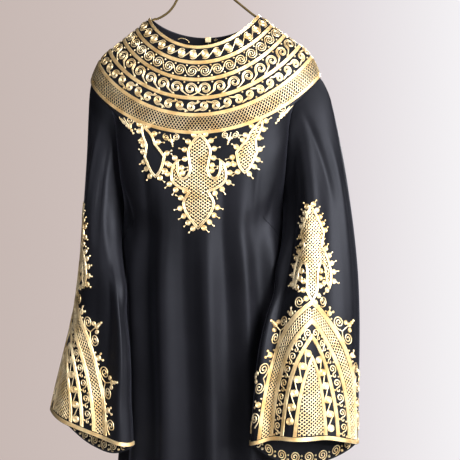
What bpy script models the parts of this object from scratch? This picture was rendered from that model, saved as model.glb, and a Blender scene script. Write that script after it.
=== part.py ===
"""Long black kaftan dress with gold braid, hanging on a brass wire hanger.

The frame has +Z up, X to the viewer's right and the front facing -Y.  The origin
is the seat of the hanger's hook.  Tables are in millimetres, everything else is
in metres.
"""
import math

import bmesh
import bpy
from mathutils import Vector

MM = 0.001

# Cloth and seams
WALL = 1.6 * MM
SEAM_GAP = 0.3 * MM
BRAID_HEIGHT = 2.0 * MM
YOKE_LIFT = 0.40 * MM
TRIM_LIFT = 0.80 * MM
SLEEVE_LIFT = 1.60 * MM
EDGE_STEP = 0.5 * MM
ARMHOLE_GAP = 0.35 * MM
CLOTH_SHARP_ANGLE = 50

# How each piece is divided
FRONT_CELLS = 28
BACK_CELLS = 12
SLEEVE_CELLS = 36

# Shape of a row of the body: how fast it droops towards the centre, how far its
# middle lies below it, and how far the lower part swings to the right.
DROOP = 1.6
MIDDLE_DROP = 0.03
HEM_SHIFT = 10 * MM
SHIFT_TOP = -0.50
SHIFT_END = -0.93

# Yoke: a ring of braid and scrollwork all round the neck, measured from its edge
YOKE_STEP = 25 * MM
YOKE_EDGE_ROW = 6
UNDERARM_ROW = 12

# Hanger wire and hook
WIRE_RADIUS = 2.0 * MM
WIRE_SIDES_RESOLUTION = 3
HOOK_RADIUS = 24 * MM
FERRULE_RADIUS = 3.6 * MM
FERRULE_LENGTH = 14 * MM
FERRULE_RISE = 1.4 * MM
FERRULE_STEPS = 16
FERRULE_SHARP_ANGLE = 40


def named_rows(columns, rows):
    """Rows of a table as dictionaries, one key for each named column."""
    return [dict(zip(columns, row)) for row in rows]


# The body, row by row from the neck to the hem.  edge is the shoulder seam, then
# the armhole, then the side seam; front and back are the centre lines.
BODY = named_rows(
    ("edge_x", "edge_y", "edge_z", "front_z", "back_z", "front_y", "back_y"),
    (
        (92, 0, -171, -231, -198, 52, 46),
        (113, 0, -187, -256, -223, 59, 54),
        (132, 0, -201, -281, -248, 64, 60),
        (152, 0, -216, -306, -273, 69, 65),
        (172, 0, -231, -331, -298, 73, 69),
        (187, 0, -251, -356, -324, 77, 72),
        (196, 0, -279, -381, -352, 80, 74),
        (178, 12, -295, -402, -378, 82, 76),
        (160, 22, -316, -424, -404, 84, 78),
        (149, 28, -346, -450, -433, 86, 80),
        (144, 30, -392, -484, -471, 88, 81),
        (140, 22, -444, -520, -511, 89, 82),
        (138, 0, -490, -552, -546, 90, 82),
        (145, 0, -552, -600, -597, 90, 82),
        (149, 0, -630, -662, -660, 89, 81),
        (150, 0, -716, -735, -734, 88, 80),
        (151, 0, -808, -818, -817, 87, 80),
        (154, 0, -903, -907, -907, 88, 82),
        (164, 0, -1010, -1010, -1010, 91, 86),
        (182, 0, -1140, -1140, -1140, 97, 93),
        (199, 0, -1270, -1270, -1270, 103, 99),
        (214, 0, -1400, -1400, -1400, 109, 105),
        (226, 0, -1530, -1530, -1530, 114, 110),
    ),
)

# Flutes: where each starts and ends round the body (degrees from the centre
# line), how far it stands out, its width (degrees) and the height it starts at.
FLUTE_COLUMNS = ("top", "hem", "height", "width", "start_z")
FRONT_FLUTES = named_rows(
    FLUTE_COLUMNS,
    (
        (-76, -73, 6, 8, -560),
        (-49, -48, 9, 8, -440),
        (-22, -24, 15, 8, -392),
        (7, 4, 13, 7, -420),
        (31, 30, 14, 7.5, -400),
        (55, 52, 11, 8, -440),
        (77, 74, 6, 8, -560),
    ),
)
BACK_FLUTES = named_rows(
    FLUTE_COLUMNS,
    (
        (-70, -68, 8, 8, -520),
        (-44, -47, 13, 8, -400),
        (-17, -15, 12, 8, -420),
        (14, 16, 14, 8, -390),
        (40, 38, 12, 8, -430),
        (67, 66, 9, 8, -500),
    ),
)
FLUTE_RAMP = 0.26
FLUTE_VALLEY = 0.35
VALLEY_WIDTH = 2.4
FLUTE_GROWTH = 0.55
SEAM_FADE = 14.0

# Sleeves, ring by ring from the armhole to the hem: the outer and the inner
# line, and how far the ring bulges to the front and to the back of them.
RING_COLUMNS = ("outer_x", "outer_y", "outer_z", "inner_x", "inner_y", "inner_z",
                "front", "back")
LEFT_RINGS = named_rows(
    RING_COLUMNS,
    (
        (196, 0, -279, 138, 0, -490, 30, 30),
        (199, 0, -290, 143, -2, -500, 31, 29),
        (201, -1, -313, 147, -7, -514, 32, 27),
        (202, -3, -350, 149, -15, -534, 33, 25),
        (203, -4, -395, 147, -26, -560, 33, 23),
        (204.5, -6, -445, 140, -42, -592, 33, 21),
        (207, -8, -500, 130, -59, -627, 33, 23),
        (210, -10, -555, 120, -74, -663, 33, 22),
        (214, -12, -610, 113, -83, -700, 33, 21),
        (221, -14, -662, 109, -87, -737, 34, 21),
        (231, -17, -712, 107, -89, -775, 35, 21),
        (242, -20, -760, 107, -89, -812, 36, 22),
        (252, -22, -802, 104, -91, -849, 37, 22),
        (260, -24, -840, 102, -93, -884, 38, 22),
    ),
)
RIGHT_RINGS = named_rows(
    RING_COLUMNS,
    (
        (196, 0, -279, 138, 0, -490, 30, 30),
        (203, 0, -289, 143, -2, -500, 32, 29),
        (213, -2, -312, 147, -7, -514, 34, 27),
        (222, -6, -348, 147, -16, -534, 35, 25),
        (231, -10, -392, 145, -29, -560, 35, 24),
        (240, -14, -442, 138, -45, -592, 35, 22),
        (248, -19, -496, 127, -62, -629, 35, 21),
        (255, -25, -553, 115, -79, -666, 36, 20),
        (260, -31, -611, 106, -92, -703, 38, 20),
        (262, -38, -668, 100, -100, -740, 40, 20),
        (262, -44, -722, 97, -103, -776, 42, 21),
        (261, -49, -775, 94, -105, -811, 44, 22),
        (260, -54, -826, 92, -107, -843, 46, 23),
        (259, -58, -878, 90, -108, -874, 48, 24),
    ),
)

# Folds of a sleeve (degrees from its outer line towards the front, millimetres).
FOLD_COLUMNS = ("top", "hem", "height", "width", "start_ring")
LEFT_FOLDS = named_rows(
    FOLD_COLUMNS,
    (
        (70, 62, 6, 22, 3),
        (112, 108, -5, 18, 5),
        (136, 132, 3, 16, 4),
        (-70, -66, 7, 22, 4),
        (-120, -118, -5, 20, 5),
    ),
)
RIGHT_FOLDS = named_rows(
    FOLD_COLUMNS,
    (
        (58, 62, 5, 16, 4),
        (84, 88, 15, 15, 1),
        (126, 128, -14, 15, 3),
        (-62, -58, 7, 22, 4),
        (-118, -120, -5, 20, 5),
    ),
)
# How much each side of a sleeve's hem hangs below (-) the straight ring.
HEM_COLUMNS = ("angle", "drop")
LEFT_HEM = named_rows(HEM_COLUMNS, ((0, 0), (90, -4), (180, 0), (270, -40)))
RIGHT_HEM = named_rows(HEM_COLUMNS, ((0, 0), (90, 18), (180, 0), (270, -38)))
ARMHOLE_FADE_RINGS = 6.0
FOLD_RAMP_RINGS = 5.0
RING_FULLNESS = 0.78

# Column of each sleeve that the embroidery's middle line follows, down to the
# chevron's apex and at the hem.
MIDLINE = {"left": (2.2, 5.0), "right": (10.0, 9.2)}

# Braids of the yoke, from and to, in millimetres from the neck edge.
YOKE_BRAIDS = named_rows(
    ("name", "start", "end"),
    (
        ("neck_braid", 0.6, 7.0),
        ("yoke_braid_1", 26.0, 32.0),
        ("yoke_braid_2", 55.0, 61.0),
        ("yoke_braid_3", 86.0, 92.0),
        ("yoke_braid_4", 114.0, 120.0),
        ("yoke_braid_5", 142.5, 148.5),
    ),
)

# Chevron braids of a sleeve: apex below the first one, and half width at the hem.
CHEVRON_TOP_Z = -0.643
CHEVRON_REACH = 60 * MM
CHEVRONS = named_rows(
    ("name", "apex", "spread"),
    (
        ("chevron_1", 0, 102),
        ("chevron_2", 28, 81),
        ("chevron_3", 52, 58),
        ("chevron_4", 84, 36),
    ),
)
CHEVRON_WIDTH = 6.0
CHEVRON_APEX_WIDTH = 9.0
CHEVRON_SHOULDER = 0.75
HEM_CLEARANCE = 7.9 * MM
LEG_STEP = 15 * MM

# Braid round each sleeve's hem, from and to, in millimetres above the hem.
HEM_BRAID = {"top": 7.0, "bottom": 0.8}

# Pendants below the yoke and medallions on the sleeves: half width at each
# distance down, in millimetres.
PENDANT_COLUMNS = ("down", "half")
CENTRE_PENDANT = named_rows(
    PENDANT_COLUMNS,
    ((2, 3), (10, 9), (22, 19), (32, 16), (44, 13), (60, 12), (72, 17), (86, 13),
     (102, 22), (114, 23), (130, 15), (144, 7), (156, 2)),
)
SIDE_PENDANT = named_rows(
    PENDANT_COLUMNS,
    ((2, 3), (10, 8), (20, 13), (30, 10), (44, 16), (56, 16), (70, 9), (84, 2)),
)
MEDALLION = named_rows(
    PENDANT_COLUMNS,
    ((0, 3), (12, 12), (26, 25), (40, 28), (54, 19), (66, 20), (78, 31), (94, 41),
     (110, 41), (122, 33), (132, 19), (140, 5)),
)
PENDANTS = named_rows(
    ("name", "angle", "outline"),
    (
        ("pendant_centre", 1.5, CENTRE_PENDANT),
        ("pendant_left", -27.5, SIDE_PENDANT),
        ("pendant_right", 32.0, SIDE_PENDANT),
    ),
)
MEDALLION_TOP_Z = -0.497
PLATE_HEIGHT = 1.6 * MM
PLATE_CELLS = 6

# Hanger arms, from the middle to where they pass under the shoulder seams (the left
# one is bent a little), and the hook's stem, above the arms' crest.
ARM_START = named_rows(
    ("x", "right_z", "left_z"),
    (
        (0, -106, -106),
        (11, -109.5, -108.5),
        (30, -125, -120),
        (44, -137, -136),
        (52, -143.8, -150),
        (61, -151.4, -161),
        (72, -160.6, -168.5),
        (82, -168.8, -173),
    ),
)
STEM = named_rows(("x", "z"), ((0, -85.7), (0, -66), (3.5, -53.5)))
HOOK_TURN = {"start": -46, "end": 206, "step": 14}

BLACK_CREPE = ("black_crepe", (0.006, 0.006, 0.009), 0.75, 0.0)
GOLD_BRAID = ("gold_braid", (0.72, 0.52, 0.25), 0.38, 0.85)
BRASS_WIRE = ("brass_wire", (0.66, 0.45, 0.17), 0.28, 1.0)


def clear_scene():
    for item in list(bpy.data.objects):
        bpy.data.objects.remove(item, do_unlink=True)


def material(spec):
    """A Principled material from its name, colour, roughness and metallic value."""
    name, colour, roughness, metallic = spec
    made = bpy.data.materials.get(name)
    if made is None:
        made = bpy.data.materials.new(name)
        made.use_nodes = True
        shader = made.node_tree.nodes["Principled BSDF"]
        shader.inputs["Base Color"].default_value = (*colour, 1.0)
        shader.inputs["Roughness"].default_value = roughness
        shader.inputs["Metallic"].default_value = metallic
    return made


def smooth_value(rows, name, place):
    """A column's value at a place between rows, on a smooth curve through them."""
    place = min(max(place, 0.0), len(rows) - 1.0)
    low = min(int(place), len(rows) - 2)
    part = place - low
    before, start, end, after = (
        rows[min(max(low + step, 0), len(rows) - 1)][name] for step in (-1, 0, 1, 2))
    slope_in = (end - before) / 2
    slope_out = (after - start) / 2
    square, cube = part * part, part ** 3
    return ((2 * cube - 3 * square + 1) * start + (cube - 2 * square + part) * slope_in
            + (3 * square - 2 * cube) * end + (cube - square) * slope_out)


def ramp(value):
    """0 to 1 with level ends."""
    value = min(max(value, 0.0), 1.0)
    return value * value * (3 - 2 * value)


def bump(distance, width):
    return math.exp(-(distance / width) ** 2)


def flute_height(flutes, angle, z):
    """How far the flutes push the cloth out, in metres, at an angle in degrees."""
    down = min(max((z - BODY[YOKE_EDGE_ROW]["edge_z"] * MM)
                   / ((BODY[-1]["edge_z"] - BODY[YOKE_EDGE_ROW]["edge_z"]) * MM), 0.0), 1.0)
    total = 0.0
    for flute in flutes:
        centre = flute["top"] + (flute["hem"] - flute["top"]) * down
        grown = ramp((flute["start_z"] * MM - z) / FLUTE_RAMP)
        shape = bump(angle - centre, flute["width"]) - FLUTE_VALLEY * bump(
            angle - centre, VALLEY_WIDTH * flute["width"])
        total += flute["height"] * grown * (1 + FLUTE_GROWTH * down) * shape
    seam = min(1.0, (90.0 - abs(angle)) / SEAM_FADE)
    return total * seam * MM


def body_point(back, angle, row):
    """A point of the body's outer face; angle in degrees from the centre line."""
    side = "back" if back else "front"
    edge_x, edge_y, edge_z, centre_z, depth = (
        smooth_value(BODY, name, row) * MM
        for name in ("edge_x", "edge_y", "edge_z", side + "_z", side + "_y"))
    turn = math.radians(angle)
    across = math.sin(turn)
    inward = max(math.cos(turn), 0.0)
    z = edge_z + (centre_z - edge_z) * inward ** DROOP
    y = edge_y + (depth - edge_y) * inward
    out = Vector((across / edge_x, inward / depth, 0)).normalized()
    lift = flute_height(BACK_FLUTES if back else FRONT_FLUTES, angle, z)
    swing = HEM_SHIFT * ramp((z - SHIFT_TOP) / (SHIFT_END - SHIFT_TOP))
    facing = 1 if back else -1
    return Vector((edge_x * across + out.x * lift + swing, facing * (y + out.y * lift), z))


def armhole_point(turn, right):
    """A point of the armhole; turn runs from the shoulder over the front, in degrees."""
    turn = (turn + 180.0) % 360.0 - 180.0
    place = YOKE_EDGE_ROW + (UNDERARM_ROW - YOKE_EDGE_ROW) * abs(turn) / 180.0
    low = min(int(place), UNDERARM_ROW - 1)
    part = place - low
    x, y, z = (BODY[low][name] + (BODY[low + 1][name] - BODY[low][name]) * part
               for name in ("edge_x", "edge_y", "edge_z"))
    forward = -1 if turn >= 0 else 1
    side = 1 if right else -1
    return Vector((side * (x * MM + ARMHOLE_GAP), forward * y * MM, z * MM))


def hem_drop(rows, turn):
    """The hem's drop at an angle, eased from one named side to the next."""
    turn %= 360.0
    step = 360.0 / len(rows)
    low = int(turn // step) % len(rows)
    part = ramp((turn - low * step) / step)
    return rows[low]["drop"] + (rows[(low + 1) % len(rows)]["drop"] - rows[low]["drop"]) * part


def plain_ring_point(rings, turn, ring, right):
    """A point on a ring of the sleeve, before folds; also its outward direction."""
    value = {name: smooth_value(rings, name, ring) * MM for name in RING_COLUMNS}
    side = 1 if right else -1
    outer = Vector((side * value["outer_x"], value["outer_y"], value["outer_z"]))
    inner = Vector((side * value["inner_x"], value["inner_y"], value["inner_z"]))
    angle = math.radians(turn)
    along, forward = math.cos(angle), math.sin(angle)
    depth = value["front"] if forward > 0 else value["back"]
    half = (outer - inner) / 2
    level = Vector((half.x, half.y, 0))
    point = (outer + inner) / 2 + half * math.copysign(abs(along) ** RING_FULLNESS, along)
    point.y -= depth * math.copysign(abs(forward) ** RING_FULLNESS, forward)
    out = (level.normalized() * (along * depth)
           + Vector((0, -1, 0)) * (forward * level.length)).normalized()
    return point, out


def sleeve_point(right, turn, ring):
    """A point of a sleeve's outer face; turn runs from its outer line over the front."""
    rings = RIGHT_RINGS if right else LEFT_RINGS
    last = len(rings) - 1
    point, out = plain_ring_point(rings, turn, ring, right)
    fade = 1 - ramp(ring / ARMHOLE_FADE_RINGS)
    if fade > 0:
        start, _ = plain_ring_point(rings, turn, 0, right)
        point += (armhole_point(turn, right) - start) * fade
    for fold in RIGHT_FOLDS if right else LEFT_FOLDS:
        centre = fold["top"] + (fold["hem"] - fold["top"]) * ring / last
        away = (turn - centre + 180.0) % 360.0 - 180.0
        grown = ramp((ring - fold["start_ring"]) / FOLD_RAMP_RINGS)
        point += out * (fold["height"] * MM * grown * bump(away, fold["width"]))
    point.z += hem_drop(RIGHT_HEM if right else LEFT_HEM, turn) * MM * (ring / last) ** 3
    return point


def armhole_shares(points):
    """How far round the armhole each of its points lies, from 0 to 1."""
    lengths = [0.0]
    for start, end in zip(points, points[1:] + points[:1]):
        lengths.append(lengths[-1] + (end - start).length)
    return [length / lengths[-1] for length in lengths[:-1]]


def even_ring(right, ring, shares):
    """Points round a ring from its outer line over the front, soon spaced evenly."""
    count = len(shares)
    even = ramp(ring / ARMHOLE_FADE_RINGS)
    fine = 8 * count
    loop = [sleeve_point(right, 360.0 * step / fine, ring) for step in range(fine + 1)]
    lengths = [0.0]
    for start, end in zip(loop, loop[1:]):
        lengths.append(lengths[-1] + (end - start).length)
    points, at = [], 0
    for index in range(count):
        wanted = lengths[-1] * (shares[index] + (index / count - shares[index]) * even)
        while lengths[at + 1] < wanted:
            at += 1
        part = (wanted - lengths[at]) / (lengths[at + 1] - lengths[at])
        points.append(loop[at].lerp(loop[at + 1], part))
    return points


class Panel:
    """A grid of points on a piece's outer face, with the outward direction of each."""

    def __init__(self, points, inside, round_piece=False):
        self.points = points
        self.round_piece = round_piece
        self.last_row = len(points) - 1
        self.last_column = len(points[0]) - (0 if round_piece else 1)
        self.normals = [[self.direction(row, column) for column in range(len(points[0]))]
                        for row in range(len(points))]
        outwards = sum((point - inside(point)).normalized().dot(normal)
                       for line, normals in zip(points, self.normals)
                       for point, normal in zip(line, normals))
        if outwards < 0:
            self.normals = [[-normal for normal in line] for line in self.normals]

    def direction(self, row, column):
        count = len(self.points[0])
        if self.round_piece:
            before, after = (column - 1) % count, (column + 1) % count
        else:
            before, after = max(column - 1, 0), min(column + 1, count - 1)
        along = self.points[row][after] - self.points[row][before]
        down = (self.points[min(row + 1, self.last_row)][column]
                - self.points[max(row - 1, 0)][column])
        return along.cross(down).normalized()

    def flatten_normals(self, columns, axis):
        """Turn the end directions of a seam so that its face is square to an axis."""
        for row in self.normals:
            for column in columns:
                row[column][axis] = 0
                row[column].normalize()

    def at(self, column, row):
        """Point and direction at a place between columns and rows."""
        row = min(max(row, 0.0), self.last_row - 1e-9)
        low_row = int(row)
        if self.round_piece:
            low_column = math.floor(column)
            part = column - low_column
            low, high = low_column % self.last_column, (low_column + 1) % self.last_column
        else:
            column = min(max(column, 0.0), self.last_column - 1e-9)
            low = int(column)
            part, high = column - low, low + 1
        down = row - low_row
        values = []
        for grid in (self.points, self.normals):
            upper = grid[low_row][low].lerp(grid[low_row][high], part)
            lower = grid[low_row + 1][low].lerp(grid[low_row + 1][high], part)
            values.append(upper.lerp(lower, down))
        return values[0], values[1].normalized()

    def pitch(self, row):
        """The mean distance between the columns of a row."""
        line = self.points[min(int(row), self.last_row - 1)]
        return sum((line[step] - line[step - 1]).length
                   for step in range(len(line))) / self.last_column

    def row_at_height(self, column, z):
        """The row at which a column passes a height."""
        for row in range(self.last_row):
            top, bottom = self.at(column, row)[0].z, self.at(column, row + 1)[0].z
            if bottom <= z:
                return row + (top - z) / (top - bottom)
        return float(self.last_row)


def shell(name, outer, inner, spec, round_piece=False):
    """A closed wall between two grids of points that face each other."""
    mesh = bmesh.new()
    rows, columns = len(outer), len(outer[0])
    far = [[mesh.verts.new(point) for point in row] for row in outer]
    near = [[mesh.verts.new(point) for point in row] for row in inner]
    steps = columns if round_piece else columns - 1
    for row in range(rows - 1):
        for column in range(steps):
            across = (column + 1) % columns
            mesh.faces.new((far[row][column], far[row][across],
                            far[row + 1][across], far[row + 1][column]))
            mesh.faces.new((near[row + 1][column], near[row + 1][across],
                            near[row][across], near[row][column]))
    for row in (0, rows - 1):
        for column in range(steps):
            across = (column + 1) % columns
            mesh.faces.new((far[row][across], far[row][column],
                            near[row][column], near[row][across]))
    if not round_piece:
        for column in (0, columns - 1):
            for row in range(rows - 1):
                mesh.faces.new((far[row][column], far[row + 1][column],
                                near[row + 1][column], near[row][column]))
    bmesh.ops.recalc_face_normals(mesh, faces=mesh.faces)
    data = bpy.data.meshes.new(name)
    mesh.to_mesh(data)
    mesh.free()
    data.shade_smooth()
    data.set_sharp_from_angle(angle=math.radians(CLOTH_SHARP_ANGLE))
    data.materials.append(material(spec))
    piece = bpy.data.objects.new(name, data)
    bpy.context.collection.objects.link(piece)
    return piece


def cloth_wall(name, panel, first_row_flat=None):
    """A cloth wall whose outer face is the panel's grid."""
    inner = []
    for row, (points, normals) in enumerate(zip(panel.points, panel.normals)):
        line = []
        for point, normal in zip(points, normals):
            inward = normal.copy()
            if row == 0 and first_row_flat is not None:
                inward[first_row_flat] = 0
                inward.normalize()
            line.append(point - inward * WALL)
        inner.append(line)
    return shell(name, panel.points, inner, BLACK_CREPE, panel.round_piece)


def laid_on(name, places, lift, height, round_piece=False):
    """A raised piece made from (point, direction) pairs of the cloth beneath it."""
    top = [[point + normal * (lift + height) for point, normal in row] for row in places]
    bottom = [[point + normal * lift for point, normal in row] for row in places]
    return shell(name, top, bottom, GOLD_BRAID, round_piece)


def body_middle(point):
    return Vector((0, 0, point.z - MIDDLE_DROP))


def make_front():
    points = []
    for row in range(len(BODY)):
        line = [body_point(False, -90 + 180 * step / FRONT_CELLS, row)
                for step in range(FRONT_CELLS + 1)]
        for point in (line[0], line[-1]):
            point.y -= SEAM_GAP / 2
        points.append(line)
    panel = Panel(points, body_middle)
    panel.flatten_normals((0, -1), 1)
    cloth_wall("front_panel", panel)
    return panel


def make_back(name, side):
    """One half of the back, from the centre seam to the side seam."""
    points = []
    for row in range(len(BODY)):
        line = [body_point(True, side * 90 * step / BACK_CELLS, row)
                for step in range(BACK_CELLS + 1)]
        line[0].x += side * SEAM_GAP / 2
        line[-1].y += SEAM_GAP / 2
        points.append(line)
    panel = Panel(points, body_middle)
    panel.flatten_normals((0,), 0)
    panel.flatten_normals((-1,), 1)
    cloth_wall(name, panel)
    return panel


def make_sleeve(name, right):
    rings = RIGHT_RINGS if right else LEFT_RINGS
    points = [[armhole_point(360.0 * step / SLEEVE_CELLS, right) for step in range(SLEEVE_CELLS)]]
    shares = armhole_shares(points[0])
    points += [even_ring(right, ring, shares) for ring in range(1, len(rings))]
    centres = [sum(line, Vector()) / len(line) for line in points]

    def nearest_centre(point):
        return min(centres, key=lambda centre: (centre - point).length)

    panel = Panel(points, nearest_centre, round_piece=True)
    cloth_wall(name, panel, first_row_flat=0)
    return panel


def make_yoke_braids(front, back_left, back_right):
    """Rings of braid; the one at the neck is open at the centre back."""
    walk = [(back_left, column) for column in range(BACK_CELLS)]
    walk += [(front, column) for column in range(FRONT_CELLS + 1)]
    walk += [(back_right, column) for column in range(BACK_CELLS - 1, 0, -1)]
    for braid in YOKE_BRAIDS:
        rows = [braid[side] * MM / YOKE_STEP for side in ("start", "end")]
        if braid["name"] == "neck_braid":
            ends = walk + [(back_right, 0)]
            laid_on(braid["name"], [[panel.at(column, row) for panel, column in ends]
                                    for row in rows], YOKE_LIFT, BRAID_HEIGHT)
            continue
        places = [[panel.at(column, row) for panel, column in walk] for row in rows]
        for line in places:
            point, normal = line[0]
            line[0] = (Vector((0, point.y, point.z)), normal)
        laid_on(braid["name"], places, YOKE_LIFT, BRAID_HEIGHT, round_piece=True)


def front_place(front, angle, across, down):
    """Place on the front, across and down from a point of the yoke's edge."""
    column = (angle + 90) / 180 * FRONT_CELLS
    z = front.at(column, YOKE_EDGE_ROW)[0].z - down
    row = front.row_at_height(column, z)
    spread = smooth_value(BODY, "edge_x", row) * MM * math.cos(math.radians(angle))
    column += math.degrees(across / spread) / 180 * FRONT_CELLS
    return front.at(column, front.row_at_height(column, z))


def make_pendant(name, front, angle, outline):
    places = []
    for line in outline:
        places.append([front_place(front, angle, line["half"] * MM * (2 * step / PLATE_CELLS - 1),
                                   line["down"] * MM) for step in range(PLATE_CELLS + 1)])
    laid_on(name, places, TRIM_LIFT, PLATE_HEIGHT)


def sleeve_place(panel, midline, across, z):
    """Place on a sleeve, across from its middle line, at a height on that line.

    Heights are stretched on each column so that its hem is always reached.
    """
    top, hem = midline
    row = panel.row_at_height(top, z)
    low = panel.points[-1][round(top)].z
    below = (z - MEDALLION_TOP_Z) / (low - MEDALLION_TOP_Z)
    drift = ramp((z - CHEVRON_TOP_Z) / (low - CHEVRON_TOP_Z))
    column = top + (hem - top) * drift + across / panel.pitch(row)
    foot = panel.at(column, panel.last_row)[0].z
    level = MEDALLION_TOP_Z + (foot - MEDALLION_TOP_Z) * below
    return panel.at(column, panel.row_at_height(column, level))


def chevron_line(panel, midline, apex_z, spread, count):
    """One edge of a chevron, from the left leg's foot over the apex to the right's.

    Near the apex its points lie on the sleeve's columns, below that evenly down.
    """
    drop = apex_z - (panel.points[-1][round(midline[0])].z + HEM_CLEARANCE)
    pitch = panel.pitch(panel.row_at_height(midline[0], apex_z - CHEVRON_REACH))
    folds = int(CHEVRON_SHOULDER * spread / pitch)
    leg = [(step * pitch, -CHEVRON_REACH * math.log(1 - step * pitch / spread))
           for step in range(folds + 1)]
    start = leg[-1][1]
    for step in range(1, count - folds):
        down = start + (drop - start) * step / (count - folds - 1)
        leg.append((spread * (1 - math.exp(-down / CHEVRON_REACH)), down))
    left = [sleeve_place(panel, midline, -across, apex_z - down) for across, down in reversed(leg[1:])]
    return left + [sleeve_place(panel, midline, across, apex_z - down) for across, down in leg]


def make_hem_braid(side, panel):
    """A ring of braid just above the hem."""
    places = []
    for edge in ("top", "bottom"):
        line = []
        for column in range(panel.last_column):
            foot = panel.at(column, panel.last_row)[0].z
            row = panel.row_at_height(column, foot + HEM_BRAID[edge] * MM)
            line.append(panel.at(column, row))
        places.append(line)
    laid_on(f"hem_braid_{side}", places, TRIM_LIFT, BRAID_HEIGHT, round_piece=True)


def make_sleeve_trim(side, panel):
    midline = MIDLINE[side]
    for chevron in CHEVRONS:
        apex = CHEVRON_TOP_Z - chevron["apex"] * MM
        spread = chevron["spread"] * MM
        foot = panel.points[-1][round(midline[0])].z
        count = round((apex - foot) / LEG_STEP) + 2
        outer = chevron_line(panel, midline, apex, spread, count)
        inner = chevron_line(panel, midline, apex - CHEVRON_APEX_WIDTH * MM,
                             spread - CHEVRON_WIDTH * MM, count)
        laid_on(f"{chevron['name']}_{side}", [outer, inner], SLEEVE_LIFT, BRAID_HEIGHT)
    make_hem_braid(side, panel)
    widest = max(line["half"] for line in MEDALLION) * MM
    places = []
    for line in MEDALLION:
        z = MEDALLION_TOP_Z - line["down"] * MM
        pitch = panel.pitch(panel.row_at_height(midline[0], z))
        folds = math.ceil(widest / panel.pitch(panel.last_row))
        half = [min(step * pitch, line["half"] * MM - (folds - step) * EDGE_STEP)
                for step in range(folds + 1)]
        half = [max(value, step * EDGE_STEP) for step, value in enumerate(half)]
        across = [-value for value in reversed(half[1:])] + half
        places.append([sleeve_place(panel, midline, value, z) for value in across])
    laid_on(f"medallion_{side}", places, SLEEVE_LIFT, PLATE_HEIGHT)


def wire(name, points):
    """A round wire through points, as a curve with a bevel and filled caps."""
    curve = bpy.data.curves.new(name, "CURVE")
    curve.dimensions = "3D"
    curve.bevel_depth = WIRE_RADIUS
    curve.bevel_resolution = WIRE_SIDES_RESOLUTION
    curve.use_fill_caps = True
    spline = curve.splines.new("POLY")
    spline.points.add(len(points) - 1)
    for slot, point in zip(spline.points, points):
        slot.co = (*point, 1.0)
    curve.materials.append(material(BRASS_WIRE))
    piece = bpy.data.objects.new(name, curve)
    bpy.context.collection.objects.link(piece)
    return piece


def smooth_path(points, steps):
    """Points on a smooth curve through a few chosen ones."""
    rows = [{"x": point.x, "y": point.y, "z": point.z} for point in points]
    count = (len(rows) - 1) * steps
    return [Vector([smooth_value(rows, axis, index / steps) for axis in "xyz"])
            for index in range(count + 1)]


def hanger_arm(height):
    """One arm of the hanger, from the middle out under the shoulder seam."""
    under = WALL + WIRE_RADIUS + 2 * SEAM_GAP
    arm = [Vector((line["x"] * MM, 0, line[height] * MM)) for line in ARM_START]
    seam = [Vector((line["edge_x"] * MM, 0, line["edge_z"] * MM))
            for line in BODY[:YOKE_EDGE_ROW]]
    for index in range(YOKE_EDGE_ROW - 1):
        ahead = seam[index + 1] - seam[max(index - 1, 0)]
        inward = Vector((ahead.z, 0, -ahead.x)).normalized()
        arm.append(seam[index] + inward * under)
    return smooth_path(arm, 2)


def make_hanger():
    """Arms under the shoulder seams, a hook above them and the ferrule between."""
    right = hanger_arm("right_z")
    left = [Vector((-point.x, 0, point.z)) for point in reversed(hanger_arm("left_z")[1:])]
    wire("hanger_arms", left + right)

    centre_z = WIRE_RADIUS - HOOK_RADIUS
    bottom = ARM_START[0]["right_z"] * MM + WIRE_RADIUS + SEAM_GAP
    points = [Vector((0, 0, bottom))]
    points += [Vector((line["x"] * MM, 0, line["z"] * MM)) for line in STEM]
    for degrees in range(HOOK_TURN["start"], HOOK_TURN["end"], HOOK_TURN["step"]):
        turn = math.radians(degrees)
        points.append(Vector((HOOK_RADIUS * math.cos(turn), 0,
                              centre_z + HOOK_RADIUS * math.sin(turn))))
    wire("hanger_hook", points)

    mesh = bmesh.new()
    outer, inner = FERRULE_RADIUS, WIRE_RADIUS + SEAM_GAP
    low = bottom + FERRULE_RISE
    profile = [(outer, low), (outer, low + FERRULE_LENGTH), (inner, low + FERRULE_LENGTH),
               (inner, low)]
    corners = [mesh.verts.new((radius, 0, z)) for radius, z in profile]
    edges = [mesh.edges.new((corners[index - 1], corners[index])) for index in range(4)]
    bmesh.ops.spin(mesh, geom=corners + edges, axis=(0, 0, 1), cent=(0, 0, 0),
                   angle=2 * math.pi, steps=FERRULE_STEPS, use_merge=True)
    bmesh.ops.remove_doubles(mesh, verts=mesh.verts, dist=1e-6)
    bmesh.ops.recalc_face_normals(mesh, faces=mesh.faces)
    data = bpy.data.meshes.new("hanger_ferrule")
    mesh.to_mesh(data)
    mesh.free()
    data.shade_smooth()
    data.set_sharp_from_angle(angle=math.radians(FERRULE_SHARP_ANGLE))
    data.materials.append(material(BRASS_WIRE))
    bpy.context.collection.objects.link(bpy.data.objects.new("hanger_ferrule", data))


def main():
    clear_scene()
    front = make_front()
    back_left = make_back("back_panel_left", -1)
    back_right = make_back("back_panel_right", 1)
    sleeves = {"left": make_sleeve("sleeve_left", False),
               "right": make_sleeve("sleeve_right", True)}
    make_yoke_braids(front, back_left, back_right)
    for pendant in PENDANTS:
        make_pendant(pendant["name"], front, pendant["angle"], pendant["outline"])
    for side, panel in sleeves.items():
        make_sleeve_trim(side, panel)
    make_hanger()


main()
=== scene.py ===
# %% [markdown]
# # A black kaftan with gold couched embroidery
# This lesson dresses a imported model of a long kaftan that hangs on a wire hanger.
# The model's plain solids fix every size and place. We lay fine cloth on their
# form, then sew the gold on it: braids, coiled balls, scrolls and net.

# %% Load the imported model
import bisect
import math

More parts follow.
